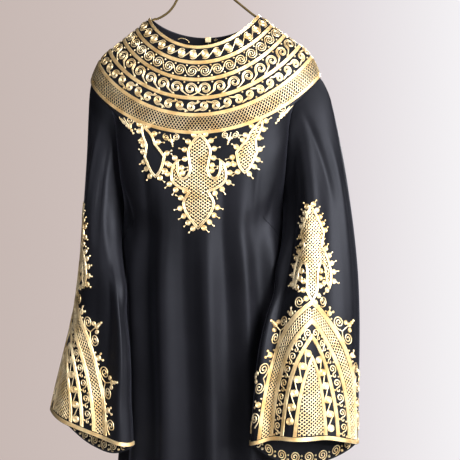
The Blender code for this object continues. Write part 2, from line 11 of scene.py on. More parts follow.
import bmesh
import bpy
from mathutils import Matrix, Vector


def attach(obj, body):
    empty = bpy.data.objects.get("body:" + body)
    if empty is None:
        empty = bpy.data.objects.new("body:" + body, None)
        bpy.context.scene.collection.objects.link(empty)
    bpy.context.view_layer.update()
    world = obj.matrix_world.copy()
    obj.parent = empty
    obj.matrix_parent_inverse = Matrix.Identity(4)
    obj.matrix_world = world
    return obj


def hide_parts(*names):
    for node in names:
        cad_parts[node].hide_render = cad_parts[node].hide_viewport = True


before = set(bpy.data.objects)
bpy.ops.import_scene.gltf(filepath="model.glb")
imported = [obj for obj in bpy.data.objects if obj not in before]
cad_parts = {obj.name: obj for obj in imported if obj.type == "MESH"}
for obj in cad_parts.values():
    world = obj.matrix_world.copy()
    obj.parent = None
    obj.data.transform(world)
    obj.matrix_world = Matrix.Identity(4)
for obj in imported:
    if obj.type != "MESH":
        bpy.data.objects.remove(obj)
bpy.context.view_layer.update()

MM = 0.001
print("nodes in the model:", len(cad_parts))

# %% [markdown]
# ## The shape of the cloth
# A dress hangs in soft flutes that start below the yoke. It could be sculpted by
# hand or simulated. We use the same short tables as the model's construction, so
# that the fine cloth lies exactly on the solids: one row for each level of the
# body or ring of a sleeve, one for each flute or fold. All tables are in
# millimetres.

# %% Helpers for tables and easing


def named_rows(columns, rows):
    """Rows of a table as dictionaries, one key for each named column."""
    return [dict(zip(columns, row)) for row in rows]


def smooth_value(rows, name, place):
    """A column's value at a place between rows, on a smooth curve through them."""
    place = min(max(place, 0.0), len(rows) - 1.0)
    low = min(int(place), len(rows) - 2)
    part = place - low
    before, start, end, after = (
        rows[min(max(low + step, 0), len(rows) - 1)][name] for step in (-1, 0, 1, 2))
    slope_in = (end - before) / 2
    slope_out = (after - start) / 2
    square, cube = part * part, part ** 3
    return ((2 * cube - 3 * square + 1) * start + (cube - 2 * square + part) * slope_in
            + (3 * square - 2 * cube) * end + (cube - square) * slope_out)


def ramp(value):
    """0 to 1 with level ends."""
    value = min(max(value, 0.0), 1.0)
    return value * value * (3 - 2 * value)


def bump(distance, width):
    """1 in the middle, fading softly to 0 on both sides."""
    return math.exp(-(distance / width) ** 2)


# %% The body, from the neck to the hem
# edge is the shoulder seam, then the armhole, then the side seam; front and back
# are the centre lines.
BODY = named_rows(
    ("edge_x", "edge_y", "edge_z", "front_z", "back_z", "front_y", "back_y"),
    (
        (92, 0, -171, -231, -198, 52, 46),
        (113, 0, -187, -256, -223, 59, 54),
        (132, 0, -201, -281, -248, 64, 60),
        (152, 0, -216, -306, -273, 69, 65),
        (172, 0, -231, -331, -298, 73, 69),
        (187, 0, -251, -356, -324, 77, 72),
        (196, 0, -279, -381, -352, 80, 74),
        (178, 12, -295, -402, -378, 82, 76),
        (160, 22, -316, -424, -404, 84, 78),
        (149, 28, -346, -450, -433, 86, 80),
        (144, 30, -392, -484, -471, 88, 81),
        (140, 22, -444, -520, -511, 89, 82),
        (138, 0, -490, -552, -546, 90, 82),
        (145, 0, -552, -600, -597, 90, 82),
        (149, 0, -630, -662, -660, 89, 81),
        (150, 0, -716, -735, -734, 88, 80),
        (151, 0, -808, -818, -817, 87, 80),
        (154, 0, -903, -907, -907, 88, 82),
        (164, 0, -1010, -1010, -1010, 91, 86),
        (182, 0, -1140, -1140, -1140, 97, 93),
        (199, 0, -1270, -1270, -1270, 103, 99),
        (214, 0, -1400, -1400, -1400, 109, 105),
        (226, 0, -1530, -1530, -1530, 114, 110),
    ),
)
YOKE_STEP = 25.0
YOKE_EDGE_ROW = 6
UNDERARM_ROW = 12
DROOP = 1.6
HEM_SHIFT = 10 * MM
SHIFT_TOP = -0.50
SHIFT_END = -0.93

# Where each flute starts and ends (degrees from the centre line), how far it
# stands out, its width (degrees) and the height it starts at.
FLUTE_COLUMNS = ("top", "hem", "height", "width", "start_z")
FRONT_FLUTES = named_rows(
    FLUTE_COLUMNS,
    (
        (-76, -73, 6, 8, -560),
        (-49, -48, 9, 8, -440),
        (-22, -24, 15, 8, -392),
        (7, 4, 13, 7, -420),
        (31, 30, 14, 7.5, -400),
        (55, 52, 11, 8, -440),
        (77, 74, 6, 8, -560),
    ),
)
BACK_FLUTES = named_rows(
    FLUTE_COLUMNS,
    (
        (-70, -68, 8, 8, -520),
        (-44, -47, 13, 8, -400),
        (-17, -15, 12, 8, -420),
        (14, 16, 14, 8, -390),
        (40, 38, 12, 8, -430),
        (67, 66, 9, 8, -500),
    ),
)
FLUTE_RAMP = 0.26
FLUTE_VALLEY = 0.35
VALLEY_WIDTH = 2.4
FLUTE_GROWTH = 0.55
SEAM_FADE = 14.0

# Small creases on top of the flutes: from and to (degrees and row of the body),
# height (below 0 for a trough) and width in degrees.
CREASE_COLUMNS = ("angle", "row", "end_angle", "end_row", "height", "width")
FRONT_CREASES = named_rows(
    CREASE_COLUMNS,
    (
        (-70, 10.6, -44, 13.2, -2.2, 4.0),
        (-66, 11.6, -48, 15.0, 1.6, 4.0),
        (70, 10.4, 46, 12.8, -2.4, 4.0),
        (64, 11.8, 50, 14.6, 1.8, 4.0),
        (-38, 8.0, -36, 16.0, -2.0, 3.5),
        (-9, 9.5, -8, 18.0, -1.8, 3.0),
        (18, 8.5, 19, 15.5, -2.2, 3.4),
        (43, 8.2, 42, 13.0, 1.6, 3.0),
        (-63, 15.5, -60, 21.5, -2.4, 3.6),
        (63, 15.0, 62, 21.0, -2.0, 3.6),
        (-34, 16.5, -33, 22.0, 1.8, 3.0),
        (12, 17.0, 14, 22.0, -2.2, 3.0),
    ),
)
BACK_CREASES = named_rows(
    CREASE_COLUMNS,
    (
        (-68, 10.5, -46, 13.0, -2.2, 4.0),
        (69, 10.4, 48, 12.8, -2.0, 4.0),
        (-30, 8.0, -31, 14.5, -2.0, 3.4),
        (28, 8.6, 27, 16.0, -2.2, 3.4),
        (-57, 14.0, -56, 21.0, 1.8, 3.4),
        (54, 15.0, 52, 22.0, -2.0, 3.4),
        (4, 9.0, 3, 13.0, 1.4, 2.6),
    ),
)
CREASE_FADE_ROWS = 1.6


def flute_height(flutes, angle, z):
    """How far the flutes push the cloth out, in millimetres."""
    top = BODY[YOKE_EDGE_ROW]["edge_z"] * MM
    hem = BODY[-1]["edge_z"] * MM
    down = min(max((z - top) / (hem - top), 0.0), 1.0)
    total = 0.0
    for flute in flutes:
        centre = flute["top"] + (flute["hem"] - flute["top"]) * down
        grown = ramp((flute["start_z"] * MM - z) / FLUTE_RAMP)
        shape = bump(angle - centre, flute["width"]) - FLUTE_VALLEY * bump(
            angle - centre, VALLEY_WIDTH * flute["width"])
        total += flute["height"] * grown * (1 + FLUTE_GROWTH * down) * shape
    return total


def crease_height(creases, angle, row):
    """How far the small creases push the cloth out, in millimetres."""
    total = 0.0
    for crease in creases:
        length = crease["end_row"] - crease["row"]
        along = (row - crease["row"]) / length
        if 0 < along < 1:
            centre = crease["angle"] + (crease["end_angle"] - crease["angle"]) * along
            ends = (ramp((row - crease["row"]) / CREASE_FADE_ROWS)
                    * ramp((crease["end_row"] - row) / CREASE_FADE_ROWS))
            total += crease["height"] * ends * bump(angle - centre, crease["width"])
    return total


def body_point(turn, row):
    """A point of the body's outer face; turn is 0 at the centre front, 180 at the back."""
    back = abs(turn) > 90.0
    angle = math.copysign(180.0 - abs(turn), turn) if back else turn
    side = "back" if back else "front"
    edge_x, edge_y, edge_z, centre_z, depth = (
        smooth_value(BODY, name, row) * MM
        for name in ("edge_x", "edge_y", "edge_z", side + "_z", side + "_y"))
    radians = math.radians(angle)
    across = math.sin(radians)
    inward = max(math.cos(radians), 0.0)
    z = edge_z + (centre_z - edge_z) * inward ** DROOP
    y = edge_y + (depth - edge_y) * inward
    out = Vector((across / edge_x, inward / depth, 0)).normalized()
    seam = min(1.0, (90.0 - abs(angle)) / SEAM_FADE)
    lift = seam * MM * (flute_height(BACK_FLUTES if back else FRONT_FLUTES, angle, z)
                        + crease_height(BACK_CREASES if back else FRONT_CREASES, angle, row))
    swing = HEM_SHIFT * ramp((z - SHIFT_TOP) / (SHIFT_END - SHIFT_TOP))
    facing = 1 if back else -1
    return Vector((edge_x * across + out.x * lift + swing, facing * (y + out.y * lift), z))


# %% The sleeves, from the armhole to the hem
# Each ring has an outer and an inner line, and bulges to the front and the back.
RING_COLUMNS = ("outer_x", "outer_y", "outer_z", "inner_x", "inner_y", "inner_z",
                "front", "back")
LEFT_RINGS = named_rows(
    RING_COLUMNS,
    (
        (196, 0, -279, 138, 0, -490, 30, 30),
        (199, 0, -290, 143, -2, -500, 31, 29),
        (201, -1, -313, 147, -7, -514, 32, 27),
        (202, -3, -350, 149, -15, -534, 33, 25),
        (203, -4, -395, 147, -26, -560, 33, 23),
        (204.5, -6, -445, 140, -42, -592, 33, 21),
        (207, -8, -500, 130, -59, -627, 33, 23),
        (210, -10, -555, 120, -74, -663, 33, 22),
        (214, -12, -610, 113, -83, -700, 33, 21),
        (221, -14, -662, 109, -87, -737, 34, 21),
        (231, -17, -712, 107, -89, -775, 35, 21),
        (242, -20, -760, 107, -89, -812, 36, 22),
        (252, -22, -802, 104, -91, -849, 37, 22),
        (260, -24, -840, 102, -93, -884, 38, 22),
    ),
)
RIGHT_RINGS = named_rows(
    RING_COLUMNS,
    (
        (196, 0, -279, 138, 0, -490, 30, 30),
        (203, 0, -289, 143, -2, -500, 32, 29),
        (213, -2, -312, 147, -7, -514, 34, 27),
        (222, -6, -348, 147, -16, -534, 35, 25),
        (231, -10, -392, 145, -29, -560, 35, 24),
        (240, -14, -442, 138, -45, -592, 35, 22),
        (248, -19, -496, 127, -62, -629, 35, 21),
        (255, -25, -553, 115, -79, -666, 36, 20),
        (260, -31, -611, 106, -92, -703, 38, 20),
        (262, -38, -668, 100, -100, -740, 40, 20),
        (262, -44, -722, 97, -103, -776, 42, 21),
        (261, -49, -775, 94, -105, -811, 44, 22),
        (260, -54, -826, 92, -107, -843, 46, 23),
        (259, -58, -878, 90, -108, -874, 48, 24),
    ),
)
# Folds of a sleeve: degrees from its outer line towards the front, millimetres.
FOLD_COLUMNS = ("top", "hem", "height", "width", "start_ring")
LEFT_FOLDS = named_rows(
    FOLD_COLUMNS,
    (
        (70, 62, 6, 22, 3),
        (112, 108, -5, 18, 5),
        (136, 132, 3, 16, 4),
        (-70, -66, 7, 22, 4),
        (-120, -118, -5, 20, 5),
    ),
)
RIGHT_FOLDS = named_rows(
    FOLD_COLUMNS,
    (
        (52, 56, 4, 16, 4),
        (92, 92, 22, 15, 1),
        (130, 130, -12, 15, 3),
        (-62, -58, 7, 22, 4),
        (-118, -120, -5, 20, 5),
    ),
)
FOLD_RAMP_RINGS = 5.0
# Small creases of the sleeves: from and to (degrees and ring), height and width.
LEFT_SLEEVE_CREASES = named_rows(
    CREASE_COLUMNS,
    (
        (174, -0.6, 168, 7.5, 14.0, 26),
        (100, 1.5, 84, 6.5, -2.4, 7),
        (60, 2.0, 50, 8.0, 2.0, 8),
        (118, 6.0, 100, 13.5, -2.6, 8),
        (140, 5.0, 132, 13.5, 2.6, 8),
        (250, 2.0, 262, 9.0, -2.4, 8),
        (300, 4.0, 306, 13.0, 2.2, 8),
    ),
)
RIGHT_SLEEVE_CREASES = named_rows(
    CREASE_COLUMNS,
    (
        (174, -0.6, 168, 6.5, 12.0, 26),
        (70, 1.0, 60, 6.0, -2.4, 7),
        (112, 1.5, 116, 7.0, 2.4, 8),
        (40, 3.0, 36, 13.5, 2.2, 8),
        (150, 6.0, 146, 13.5, 2.4, 8),
        (246, 2.0, 258, 9.0, -2.4, 8),
        (302, 4.0, 308, 13.0, 2.2, 8),
    ),
)
# How far each side of a sleeve's hem hangs below (-) the straight ring.
HEM_COLUMNS = ("angle", "drop")
LEFT_HEM = named_rows(HEM_COLUMNS, ((0, 0), (90, -4), (180, 0), (270, -40)))
RIGHT_HEM = named_rows(HEM_COLUMNS, ((0, 0), (90, 18), (180, 0), (270, -38)))
ARMHOLE_FADE_RINGS = 6.0
RING_FULLNESS = 0.78
HEM_DROP_EASE = 3
SEAM_GAP = 0.35 * MM
SLEEVE_COLUMNS = 36


def armhole_point(turn, right):
    """A point of the armhole; turn runs from the shoulder over the front."""
    turn = (turn + 180.0) % 360.0 - 180.0
    place = YOKE_EDGE_ROW + (UNDERARM_ROW - YOKE_EDGE_ROW) * abs(turn) / 180.0
    x, y, z = (smooth_value(BODY, name, place) for name in ("edge_x", "edge_y", "edge_z"))
    forward = -1 if turn >= 0 else 1
    side = 1 if right else -1
    return Vector((side * (x * MM + SEAM_GAP), forward * y * MM, z * MM))


def hem_drop(rows, turn):
    """The hem's drop at an angle, eased from one named side to the next."""
    turn %= 360.0
    step = 360.0 / len(rows)
    low = int(turn // step) % len(rows)
    part = ramp((turn - low * step) / step)
    return rows[low]["drop"] + (rows[(low + 1) % len(rows)]["drop"] - rows[low]["drop"]) * part


def plain_ring_point(value, turn, right):
    """A point on a ring of the sleeve, before folds; also its outward direction."""
    side = 1 if right else -1
    outer = Vector((side * value["outer_x"], value["outer_y"], value["outer_z"]))
    inner = Vector((side * value["inner_x"], value["inner_y"], value["inner_z"]))
    angle = math.radians(turn)
    along, forward = math.cos(angle), math.sin(angle)
    depth = value["front"] if forward > 0 else value["back"]
    half = (outer - inner) / 2
    level = Vector((half.x, half.y, 0))
    point = (outer + inner) / 2 + half * math.copysign(abs(along) ** RING_FULLNESS, along)
    point.y -= depth * math.copysign(abs(forward) ** RING_FULLNESS, forward)
    out = (level.normalized() * (along * depth)
           + Vector((0, -1, 0)) * (forward * level.length)).normalized()
    return point, out


def sleeve_loop(right, ring, count):
    """Points round one ring of a sleeve, from its outer line over the front."""
    rings = RIGHT_RINGS if right else LEFT_RINGS
    hem = RIGHT_HEM if right else LEFT_HEM
    last = len(rings) - 1
    value = {name: smooth_value(rings, name, ring) * MM for name in RING_COLUMNS}
    top = {name: rings[0][name] * MM for name in RING_COLUMNS}
    fade = 1 - ramp(ring / ARMHOLE_FADE_RINGS)
    loop = []
    for step in range(count):
        turn = 360.0 * step / count
        point, out = plain_ring_point(value, turn, right)
        if fade > 0:
            point += (armhole_point(turn, right) - plain_ring_point(top, turn, right)[0]) * fade
        for fold in RIGHT_FOLDS if right else LEFT_FOLDS:
            centre = fold["top"] + (fold["hem"] - fold["top"]) * ring / last
            away = (turn - centre + 180.0) % 360.0 - 180.0
            grown = ramp((ring - fold["start_ring"]) / FOLD_RAMP_RINGS)
            point += out * (fold["height"] * MM * grown * bump(away, fold["width"]))
        creases = RIGHT_SLEEVE_CREASES if right else LEFT_SLEEVE_CREASES
        point += out * (crease_height(creases, turn, ring) * MM)
        point.z += hem_drop(hem, turn) * MM * (ring / last) ** HEM_DROP_EASE
        loop.append(point)
    return loop


# %% A surface that can be asked for any place
HALVINGS = 14
JUST_SHORT = 1e-6


class Surface:
    """A closed face of the dress as a fine grid of points with outward directions."""

    def __init__(self, points, first_column, column_step, row_step):
        self.points = points
        self.first_column = first_column
        self.column_step = column_step
        self.row_step = row_step
        self.count = len(points[0])
        self.last_row = (len(points) - 1) * row_step
        self.normals = []
        outwards = 0.0
        for row, line in enumerate(points):
            above = points[max(row - 1, 0)]
            below = points[min(row + 1, len(points) - 1)]
            middle = sum(line, Vector()) / self.count
            normals = []
            for column in range(self.count):
                along = line[(column + 1) % self.count] - line[column - 1]
                normal = along.cross(below[column] - above[column]).normalized()
                outwards += (line[column] - middle).normalized().dot(normal)
                normals.append(normal)
            self.normals.append(normals)
        if outwards < 0:
            self.normals = [[-normal for normal in line] for line in self.normals]

    def at(self, column, row):
        """Point and outward direction at a place between columns and rows."""
        across = (column - self.first_column) / self.column_step
        left = math.floor(across)
        part = across - left
        left %= self.count
        right = (left + 1) % self.count
        down = min(max(row / self.row_step, 0.0), len(self.points) - 1 - JUST_SHORT)
        top = int(down)
        fall = down - top
        point, normal = (
            grid[top][left].lerp(grid[top][right], part).lerp(
                grid[top + 1][left].lerp(grid[top + 1][right], part), fall)
            for grid in (self.points, self.normals))
        return point, normal.normalized()

    def pitch(self, row):
        """The mean length of one whole column, in millimetres."""
        line = self.points[min(int(row / self.row_step), len(self.points) - 1)]
        total = sum((line[step] - line[step - 1]).length for step in range(self.count))
        return total / (self.count * self.column_step) / MM

    def row_at_height(self, column, z):
        """The row at which a column passes a height."""
        low, high = 0.0, self.last_row
        for _ in range(HALVINGS):
            middle = (low + high) / 2
            if self.at(column, middle)[0].z > z:
                low = middle
            else:
                high = middle
        return (low + high) / 2


# %% Work out the body and both sleeves
BODY_COLUMN_STEP = 1.5
BODY_ROW_STEP = 0.125
SLEEVE_COLUMN_STEP = 0.25
SLEEVE_ROW_STEP = 0.2
# Points on a ring for each column, before they are spaced evenly.
RING_FINENESS = 3


def body_surface():
    """The body from the neck to the hem; column 0 is the centre front."""
    columns = round(360 / BODY_COLUMN_STEP)
    rows = round((len(BODY) - 1) / BODY_ROW_STEP) + 1
    grid = [[body_point(-180 + step * BODY_COLUMN_STEP, row * BODY_ROW_STEP)
             for step in range(columns)] for row in range(rows)]
    return Surface(grid, -180.0, BODY_COLUMN_STEP, BODY_ROW_STEP)


def spaced_loop(loop, shares):
    """Points at given shares of a closed loop's length."""
    lengths = [0.0]
    for start, end in zip(loop, loop[1:] + loop[:1]):
        lengths.append(lengths[-1] + (end - start).length)
    points, at = [], 0
    for share in shares:
        wanted = lengths[-1] * share
        while lengths[at + 1] < wanted:
            at += 1
        part = (wanted - lengths[at]) / (lengths[at + 1] - lengths[at])
        points.append(loop[at].lerp(loop[(at + 1) % len(loop)], part))
    return points


def sleeve_surface(right):
    """Columns start where they leave the armhole and soon lie evenly round the sleeve."""
    columns = round(SLEEVE_COLUMNS / SLEEVE_COLUMN_STEP)
    rows = round((len(LEFT_RINGS) - 1) / SLEEVE_ROW_STEP) + 1
    hole = sleeve_loop(right, 0, columns)
    lengths = [0.0]
    for start, end in zip(hole, hole[1:]):
        lengths.append(lengths[-1] + (end - start).length)
    total = lengths[-1] + (hole[0] - hole[-1]).length
    grid = [hole]
    for row in range(1, rows):
        even = ramp(row * SLEEVE_ROW_STEP / ARMHOLE_FADE_RINGS)
        shares = [length / total + (index / columns - length / total) * even
                  for index, length in enumerate(lengths)]
        loop = sleeve_loop(right, row * SLEEVE_ROW_STEP, RING_FINENESS * columns)
        grid.append(spaced_loop(loop, shares))
    return Surface(grid, 0.0, SLEEVE_COLUMN_STEP, SLEEVE_ROW_STEP)


body = body_surface()
sleeves = {"left": sleeve_surface(False), "right": sleeve_surface(True)}
print("round the hem:", round(body.pitch(body.last_row) * 360), "mm")

# %% [markdown]
# ## Finishes
# Crepe is a matt black cloth with a pebbly face that turns blue-grey where light
# grazes it. A picture could be wrapped on it, but noise in the object's own space
# has no seams and any scale we like. The gold is metal thread: it mirrors the room
# softly, so it is metallic with a middling roughness and a fine twist in its bump.

# %% Materials


def new_material(name, colour, roughness, metallic=0.0):
    """A Principled material and its node tree, ready for more nodes."""
    made = bpy.data.materials.new(name)
    made.use_nodes = True
    shader = made.node_tree.nodes["Principled BSDF"]
    shader.inputs["Base Color"].default_value = (*colour, 1.0)
    shader.inputs["Roughness"].default_value = roughness
    shader.inputs["Metallic"].default_value = metallic
    return made, made.node_tree, shader


def object_noise(tree, scale, detail=2.0):
    """Noise in the piece's own space; scale is in waves a metre."""
    place = tree.nodes.new("ShaderNodeTexCoord")
    noise = tree.nodes.new("ShaderNodeTexNoise")
    noise.inputs["Scale"].default_value = scale
    noise.inputs["Detail"].default_value = detail
    tree.links.new(place.outputs["Object"], noise.inputs["Vector"])
    return noise


def colour_by(tree, value, stops, socket):
    """Colours a socket along a value, with (place, colour) stops."""
    blend = tree.nodes.new("ShaderNodeValToRGB")
    first, last = blend.color_ramp.elements
    first.position, first.color = stops[0][0], (*stops[0][1], 1.0)
    last.position, last.color = stops[-1][0], (*stops[-1][1], 1.0)
    for place, colour in stops[1:-1]:
        blend.color_ramp.elements.new(place).color = (*colour, 1.0)
    tree.links.new(value, blend.inputs["Fac"])
    tree.links.new(blend.outputs["Color"], socket)


def bump_by(tree, value, shader, distance, strength):
    """Small relief along a value; distance is in metres."""
    lift = tree.nodes.new("ShaderNodeBump")
    lift.inputs["Distance"].default_value = distance
    lift.inputs["Strength"].default_value = strength
    tree.links.new(value, lift.inputs["Height"])
    tree.links.new(lift.outputs["Normal"], shader.inputs["Normal"])


def crepe_material():
    """Matt black crepe with a pebbly face and a faint bluish sheen."""
    made, tree, shader = new_material("black_crepe", (0.004, 0.004, 0.006), 0.5)
    shader.inputs["Sheen Weight"].default_value = 0.16
    shader.inputs["Sheen Roughness"].default_value = 0.35
    shader.inputs["Sheen Tint"].default_value = (0.60, 0.64, 0.88, 1.0)
    shader.inputs["Specular IOR Level"].default_value = 0.14
    shader.inputs["Specular Tint"].default_value = (0.80, 0.84, 1.0, 1.0)
    pebbles = object_noise(tree, 1900.0, 3.0)
    wear = object_noise(tree, 9.0, 4.0)
    stops = ((0.35, (0.003, 0.003, 0.004)), (0.65, (0.006, 0.006, 0.008)))
    colour_by(tree, wear.outputs["Fac"], stops, shader.inputs["Base Color"])
    bump_by(tree, pebbles.outputs["Fac"], shader, 0.00025, 0.6)
    return made


def gold_material(name, dark, light, roughness):
    """Metal that is darker in patches, with the fine relief of wound thread."""
    made, tree, shader = new_material(name, light, roughness, 0.78)
    shader.inputs["Specular IOR Level"].default_value = 0.5
    threads = object_noise(tree, 1300.0, 2.0)
    patches = object_noise(tree, 45.0, 2.0)
    stops = ((0.35, dark), (0.62, light))
    colour_by(tree, patches.outputs["Fac"], stops, shader.inputs["Base Color"])
    bump_by(tree, threads.outputs["Fac"], shader, 0.0005, 0.7)
    return made


CREPE = crepe_material()
GOLD_CORD = gold_material("gold_cord", (0.76, 0.55, 0.27), (0.98, 0.82, 0.54), 0.36)
GOLD_BRAID = gold_material("gold_braid", (0.78, 0.57, 0.28), (0.99, 0.81, 0.50), 0.34)
print("materials:", [made.name for made in bpy.data.materials if made.use_nodes])

# %% [markdown]
# ## Cloth panels
# The dress has five pieces of cloth: a front, two half backs and two sleeves. Each
# could be a plane that is pushed about by hand. We let Blender make a flat grid
# and move each of its points to its place on the surface, with a few narrow
# columns beside the seams so that the edges roll in. Solidify gives the thickness.

# %% Mapping a grid onto a surface
CLOTH_THICKNESS = 0.9 * MM
SEAM_ROLL = 0.8 * MM
NARROW_COLUMNS = (1, 3, 8)
MERGE = 1e-6


def sew_on(piece, node=None):
    """Let a finished piece ride on the dress, in place of its plain solid if it has one."""
    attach(piece, "root")
    if node:
        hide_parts(node)


def new_piece(name, mesh, material, smooth_angle=60):
    """An object from a bmesh."""
    data = bpy.data.meshes.new(name)
    mesh.to_mesh(data)
    mesh.free()
    data.materials.append(material)
    data.shade_smooth()
    data.set_sharp_from_angle(angle=math.radians(smooth_angle))
    piece = bpy.data.objects.new(name, data)
    bpy.context.collection.objects.link(piece)
    return piece


def mapped_grid(columns, rows, place, size):
    """A bmesh grid whose points are put where place(column index, row index) says.

    Its UV map is in metres of flat cloth; size is the cloth's width and length.
    """
    mesh = bmesh.new()
    flat = mesh.loops.layers.uv.new("flat_cloth")
    bmesh.ops.create_grid(mesh, x_segments=columns, y_segments=rows, size=0.5, calc_uvs=True)
    for face in mesh.faces:
        for loop in face.loops:
            loop[flat].uv = (loop[flat].uv.x * size[0], loop[flat].uv.y * size[1])
    towards = {}
    for vert in mesh.verts:
        point, normal = place(round((vert.co.x + 0.5) * columns), round((0.5 - vert.co.y) * rows))
        vert.co = point
        towards[vert] = normal
    mesh.normal_update()
    agree = sum(face.normal.dot(towards[face.verts[0]]) for face in mesh.faces)
    if agree < 0:
        bmesh.ops.reverse_faces(mesh, faces=mesh.faces)
    bmesh.ops.remove_doubles(mesh, verts=mesh.verts, dist=MERGE)
    return mesh


def seam_steps(start, end, step, seam):
    """Columns from one seam to the next, with three narrow ones beside each seam."""
    count = round(abs(end - start) / step)
    inner = [start + (end - start) * index / count for index in range(1, count)]
    way = 1 if end > start else -1
    first = [start + way * times * seam for times in NARROW_COLUMNS]
    last = [end - way * times * seam for times in reversed(NARROW_COLUMNS)]
    return first + inner + last


def cloth_piece(name, node, surface, ends, seam, size):
    """One cut piece of crepe between the two seams at its ends."""
    columns = seam_steps(*ends, surface.column_step, seam)
    rows = round(surface.last_row / surface.row_step)

    def place(column, row):
        point, normal = surface.at(columns[column], row * surface.row_step)
        from_seam = min(abs(columns[column] - columns[0]), abs(columns[column] - columns[-1]))
        return point - normal * SEAM_ROLL * bump(from_seam, 3 * seam), normal

    mesh = mapped_grid(len(columns) - 1, rows, place, size)
    measured = sum(face.calc_area() for face in mesh.faces)
    piece = new_piece(name, mesh, CREPE)
    wall = piece.modifiers.new("thickness", "SOLIDIFY")
    wall.thickness = CLOTH_THICKNESS
    wall.offset = -1
    sew_on(piece, node)
    print(f"{name}: {measured:.3f} square metres of cloth")


# %% Cut and hang the five pieces
BODY_SEAM = 0.06
SLEEVE_SEAM = 0.02
UNDERARM_COLUMNS = (18, 54)
BODY_CUT = named_rows(
    ("name", "node", "ends", "flat_size", "area"),
    (
        ("front_cloth", "front_panel", (-90, 90), (0.59, 1.39), 0.60),
        ("back_left_cloth", "back_panel_left", (-90, -180), (0.29, 1.40), 0.30),
        ("back_right_cloth", "back_panel_right", (90, 180), (0.29, 1.40), 0.30),
    ),
)
SLEEVE_FLAT_SIZE = (0.45, 0.60)

for cut in BODY_CUT:
    cloth_piece(cut["name"], cut["node"], body, cut["ends"], BODY_SEAM, cut["flat_size"])
for side, surface in sleeves.items():
    cloth_piece(f"sleeve_{side}_cloth", f"sleeve_{side}", surface, UNDERARM_COLUMNS, SLEEVE_SEAM,
                SLEEVE_FLAT_SIZE)

# %% [markdown]
# ## Places to sew on
# Couched embroidery is cord that lies on the cloth and is stitched down. Every
# motif here is drawn flat, in millimetres, and a place function carries its
# points over to the cloth, so the same scroll can follow the yoke or a sleeve.
# The yoke is measured along a ring round the neck and out from the neck's edge.

# %% Rings of the yoke


class Ring:
    """Places round the yoke, measured along one ring from the centre front."""

    def __init__(self, out):
        self.out = out
        self.turns = list(range(-180, 181))
        points = [body.at(turn, out / YOKE_STEP)[0] for turn in self.turns]
        self.lengths = [0.0]
        for start, end in zip(points, points[1:]):
            self.lengths.append(self.lengths[-1] + (end - start).length / MM)
        self.length = self.lengths[-1]

    def turn(self, along):
        """Degrees round the neck at a distance along the ring."""
        wanted = (along + self.length / 2) % self.length
        at = min(bisect.bisect_right(self.lengths, wanted), len(self.lengths) - 1) - 1
        part = (wanted - self.lengths[at]) / (self.lengths[at + 1] - self.lengths[at])
        return self.turns[at] + part

    def place(self, along, across):
        """Point and outward direction; across is measured outwards from the ring."""
        return body.at(self.turn(along), (self.out + across) / YOKE_STEP)


FIRST_ROW = 16.5
print("round the neck, through the first row:", round(Ring(FIRST_ROW).length), "mm")

# %% Places below the yoke and on the sleeves
MEDALLION_TOP_Z = -0.497
CHEVRON_TOP_Z = -0.643
MIDLINE = {"left": (2.2, 5.0), "right": (10.0, 9.2)}


def front_field(angle):
    """Places across and down from a point of the yoke's edge, in millimetres."""
    top = body.at(angle, YOKE_EDGE_ROW)[0].z

    def place(across, down):
        z = top - down * MM
        row = body.row_at_height(angle, z)
        spread = smooth_value(BODY, "edge_x", row) * math.cos(math.radians(angle))
        turned = angle + math.degrees(across / spread)
        return body.at(turned, body.row_at_height(turned, z))

    return place


def sleeve_field(side):
    """Places across from a sleeve's middle line and down from the medallion's top.

    Heights are stretched on each column so that its hem is always reached.
    """
    surface = sleeves[side]
    top, hem = MIDLINE[side]
    low = surface.at(round(top), surface.last_row)[0].z

    def place(across, down):
        z = MEDALLION_TOP_Z - down * MM
        row = surface.row_at_height(top, z)
        below = (z - MEDALLION_TOP_Z) / (low - MEDALLION_TOP_Z)
        drift = ramp((z - CHEVRON_TOP_Z) / (low - CHEVRON_TOP_Z))
        column = top + (hem - top) * drift + across / surface.pitch(row)
        foot = surface.at(column, surface.last_row)[0].z
        level = MEDALLION_TOP_Z + (foot - MEDALLION_TOP_Z) * below
        return surface.at(column, surface.row_at_height(column, level))

    return place


def sleeve_foot(side):
    """How far below the medallion's top the hem lies on the middle line."""
    surface = sleeves[side]
    low = surface.at(round(MIDLINE[side][0]), surface.last_row)[0].z
    return (MEDALLION_TOP_Z - low) / MM


# %% [markdown]
# ## Cords, balls and braids
# A couched cord is a thin tube. Blender's curves make tubes from a line of points,
# so each row of scrolls is one curve with many splines, turned into a mesh at the
# end. The little coiled balls are all copies of one small turned button, and a
# braid is a grid with five ridges, one for each of its parallel cords.

# %% Cords
CORD_RADIUS = 0.92 * MM
FINE_RADIUS = 0.8 * MM
CORD_LIFT = 0.6 * MM


def smooth_line(points, steps=4):
    """A smooth flat line through a few chosen points."""
    rows = [{"x": x, "y": y} for x, y in points]
    count = (len(rows) - 1) * steps
    return [(smooth_value(rows, "x", index / steps), smooth_value(rows, "y", index / steps))
            for index in range(count + 1)]


def laid(points, place, lift=CORD_LIFT):
    """A flat line carried over to the cloth, lifted off it by a cord's radius."""
    line = []
    for across, down in points:
        point, normal = place(across, down)
        line.append(point + normal * lift)
    return line


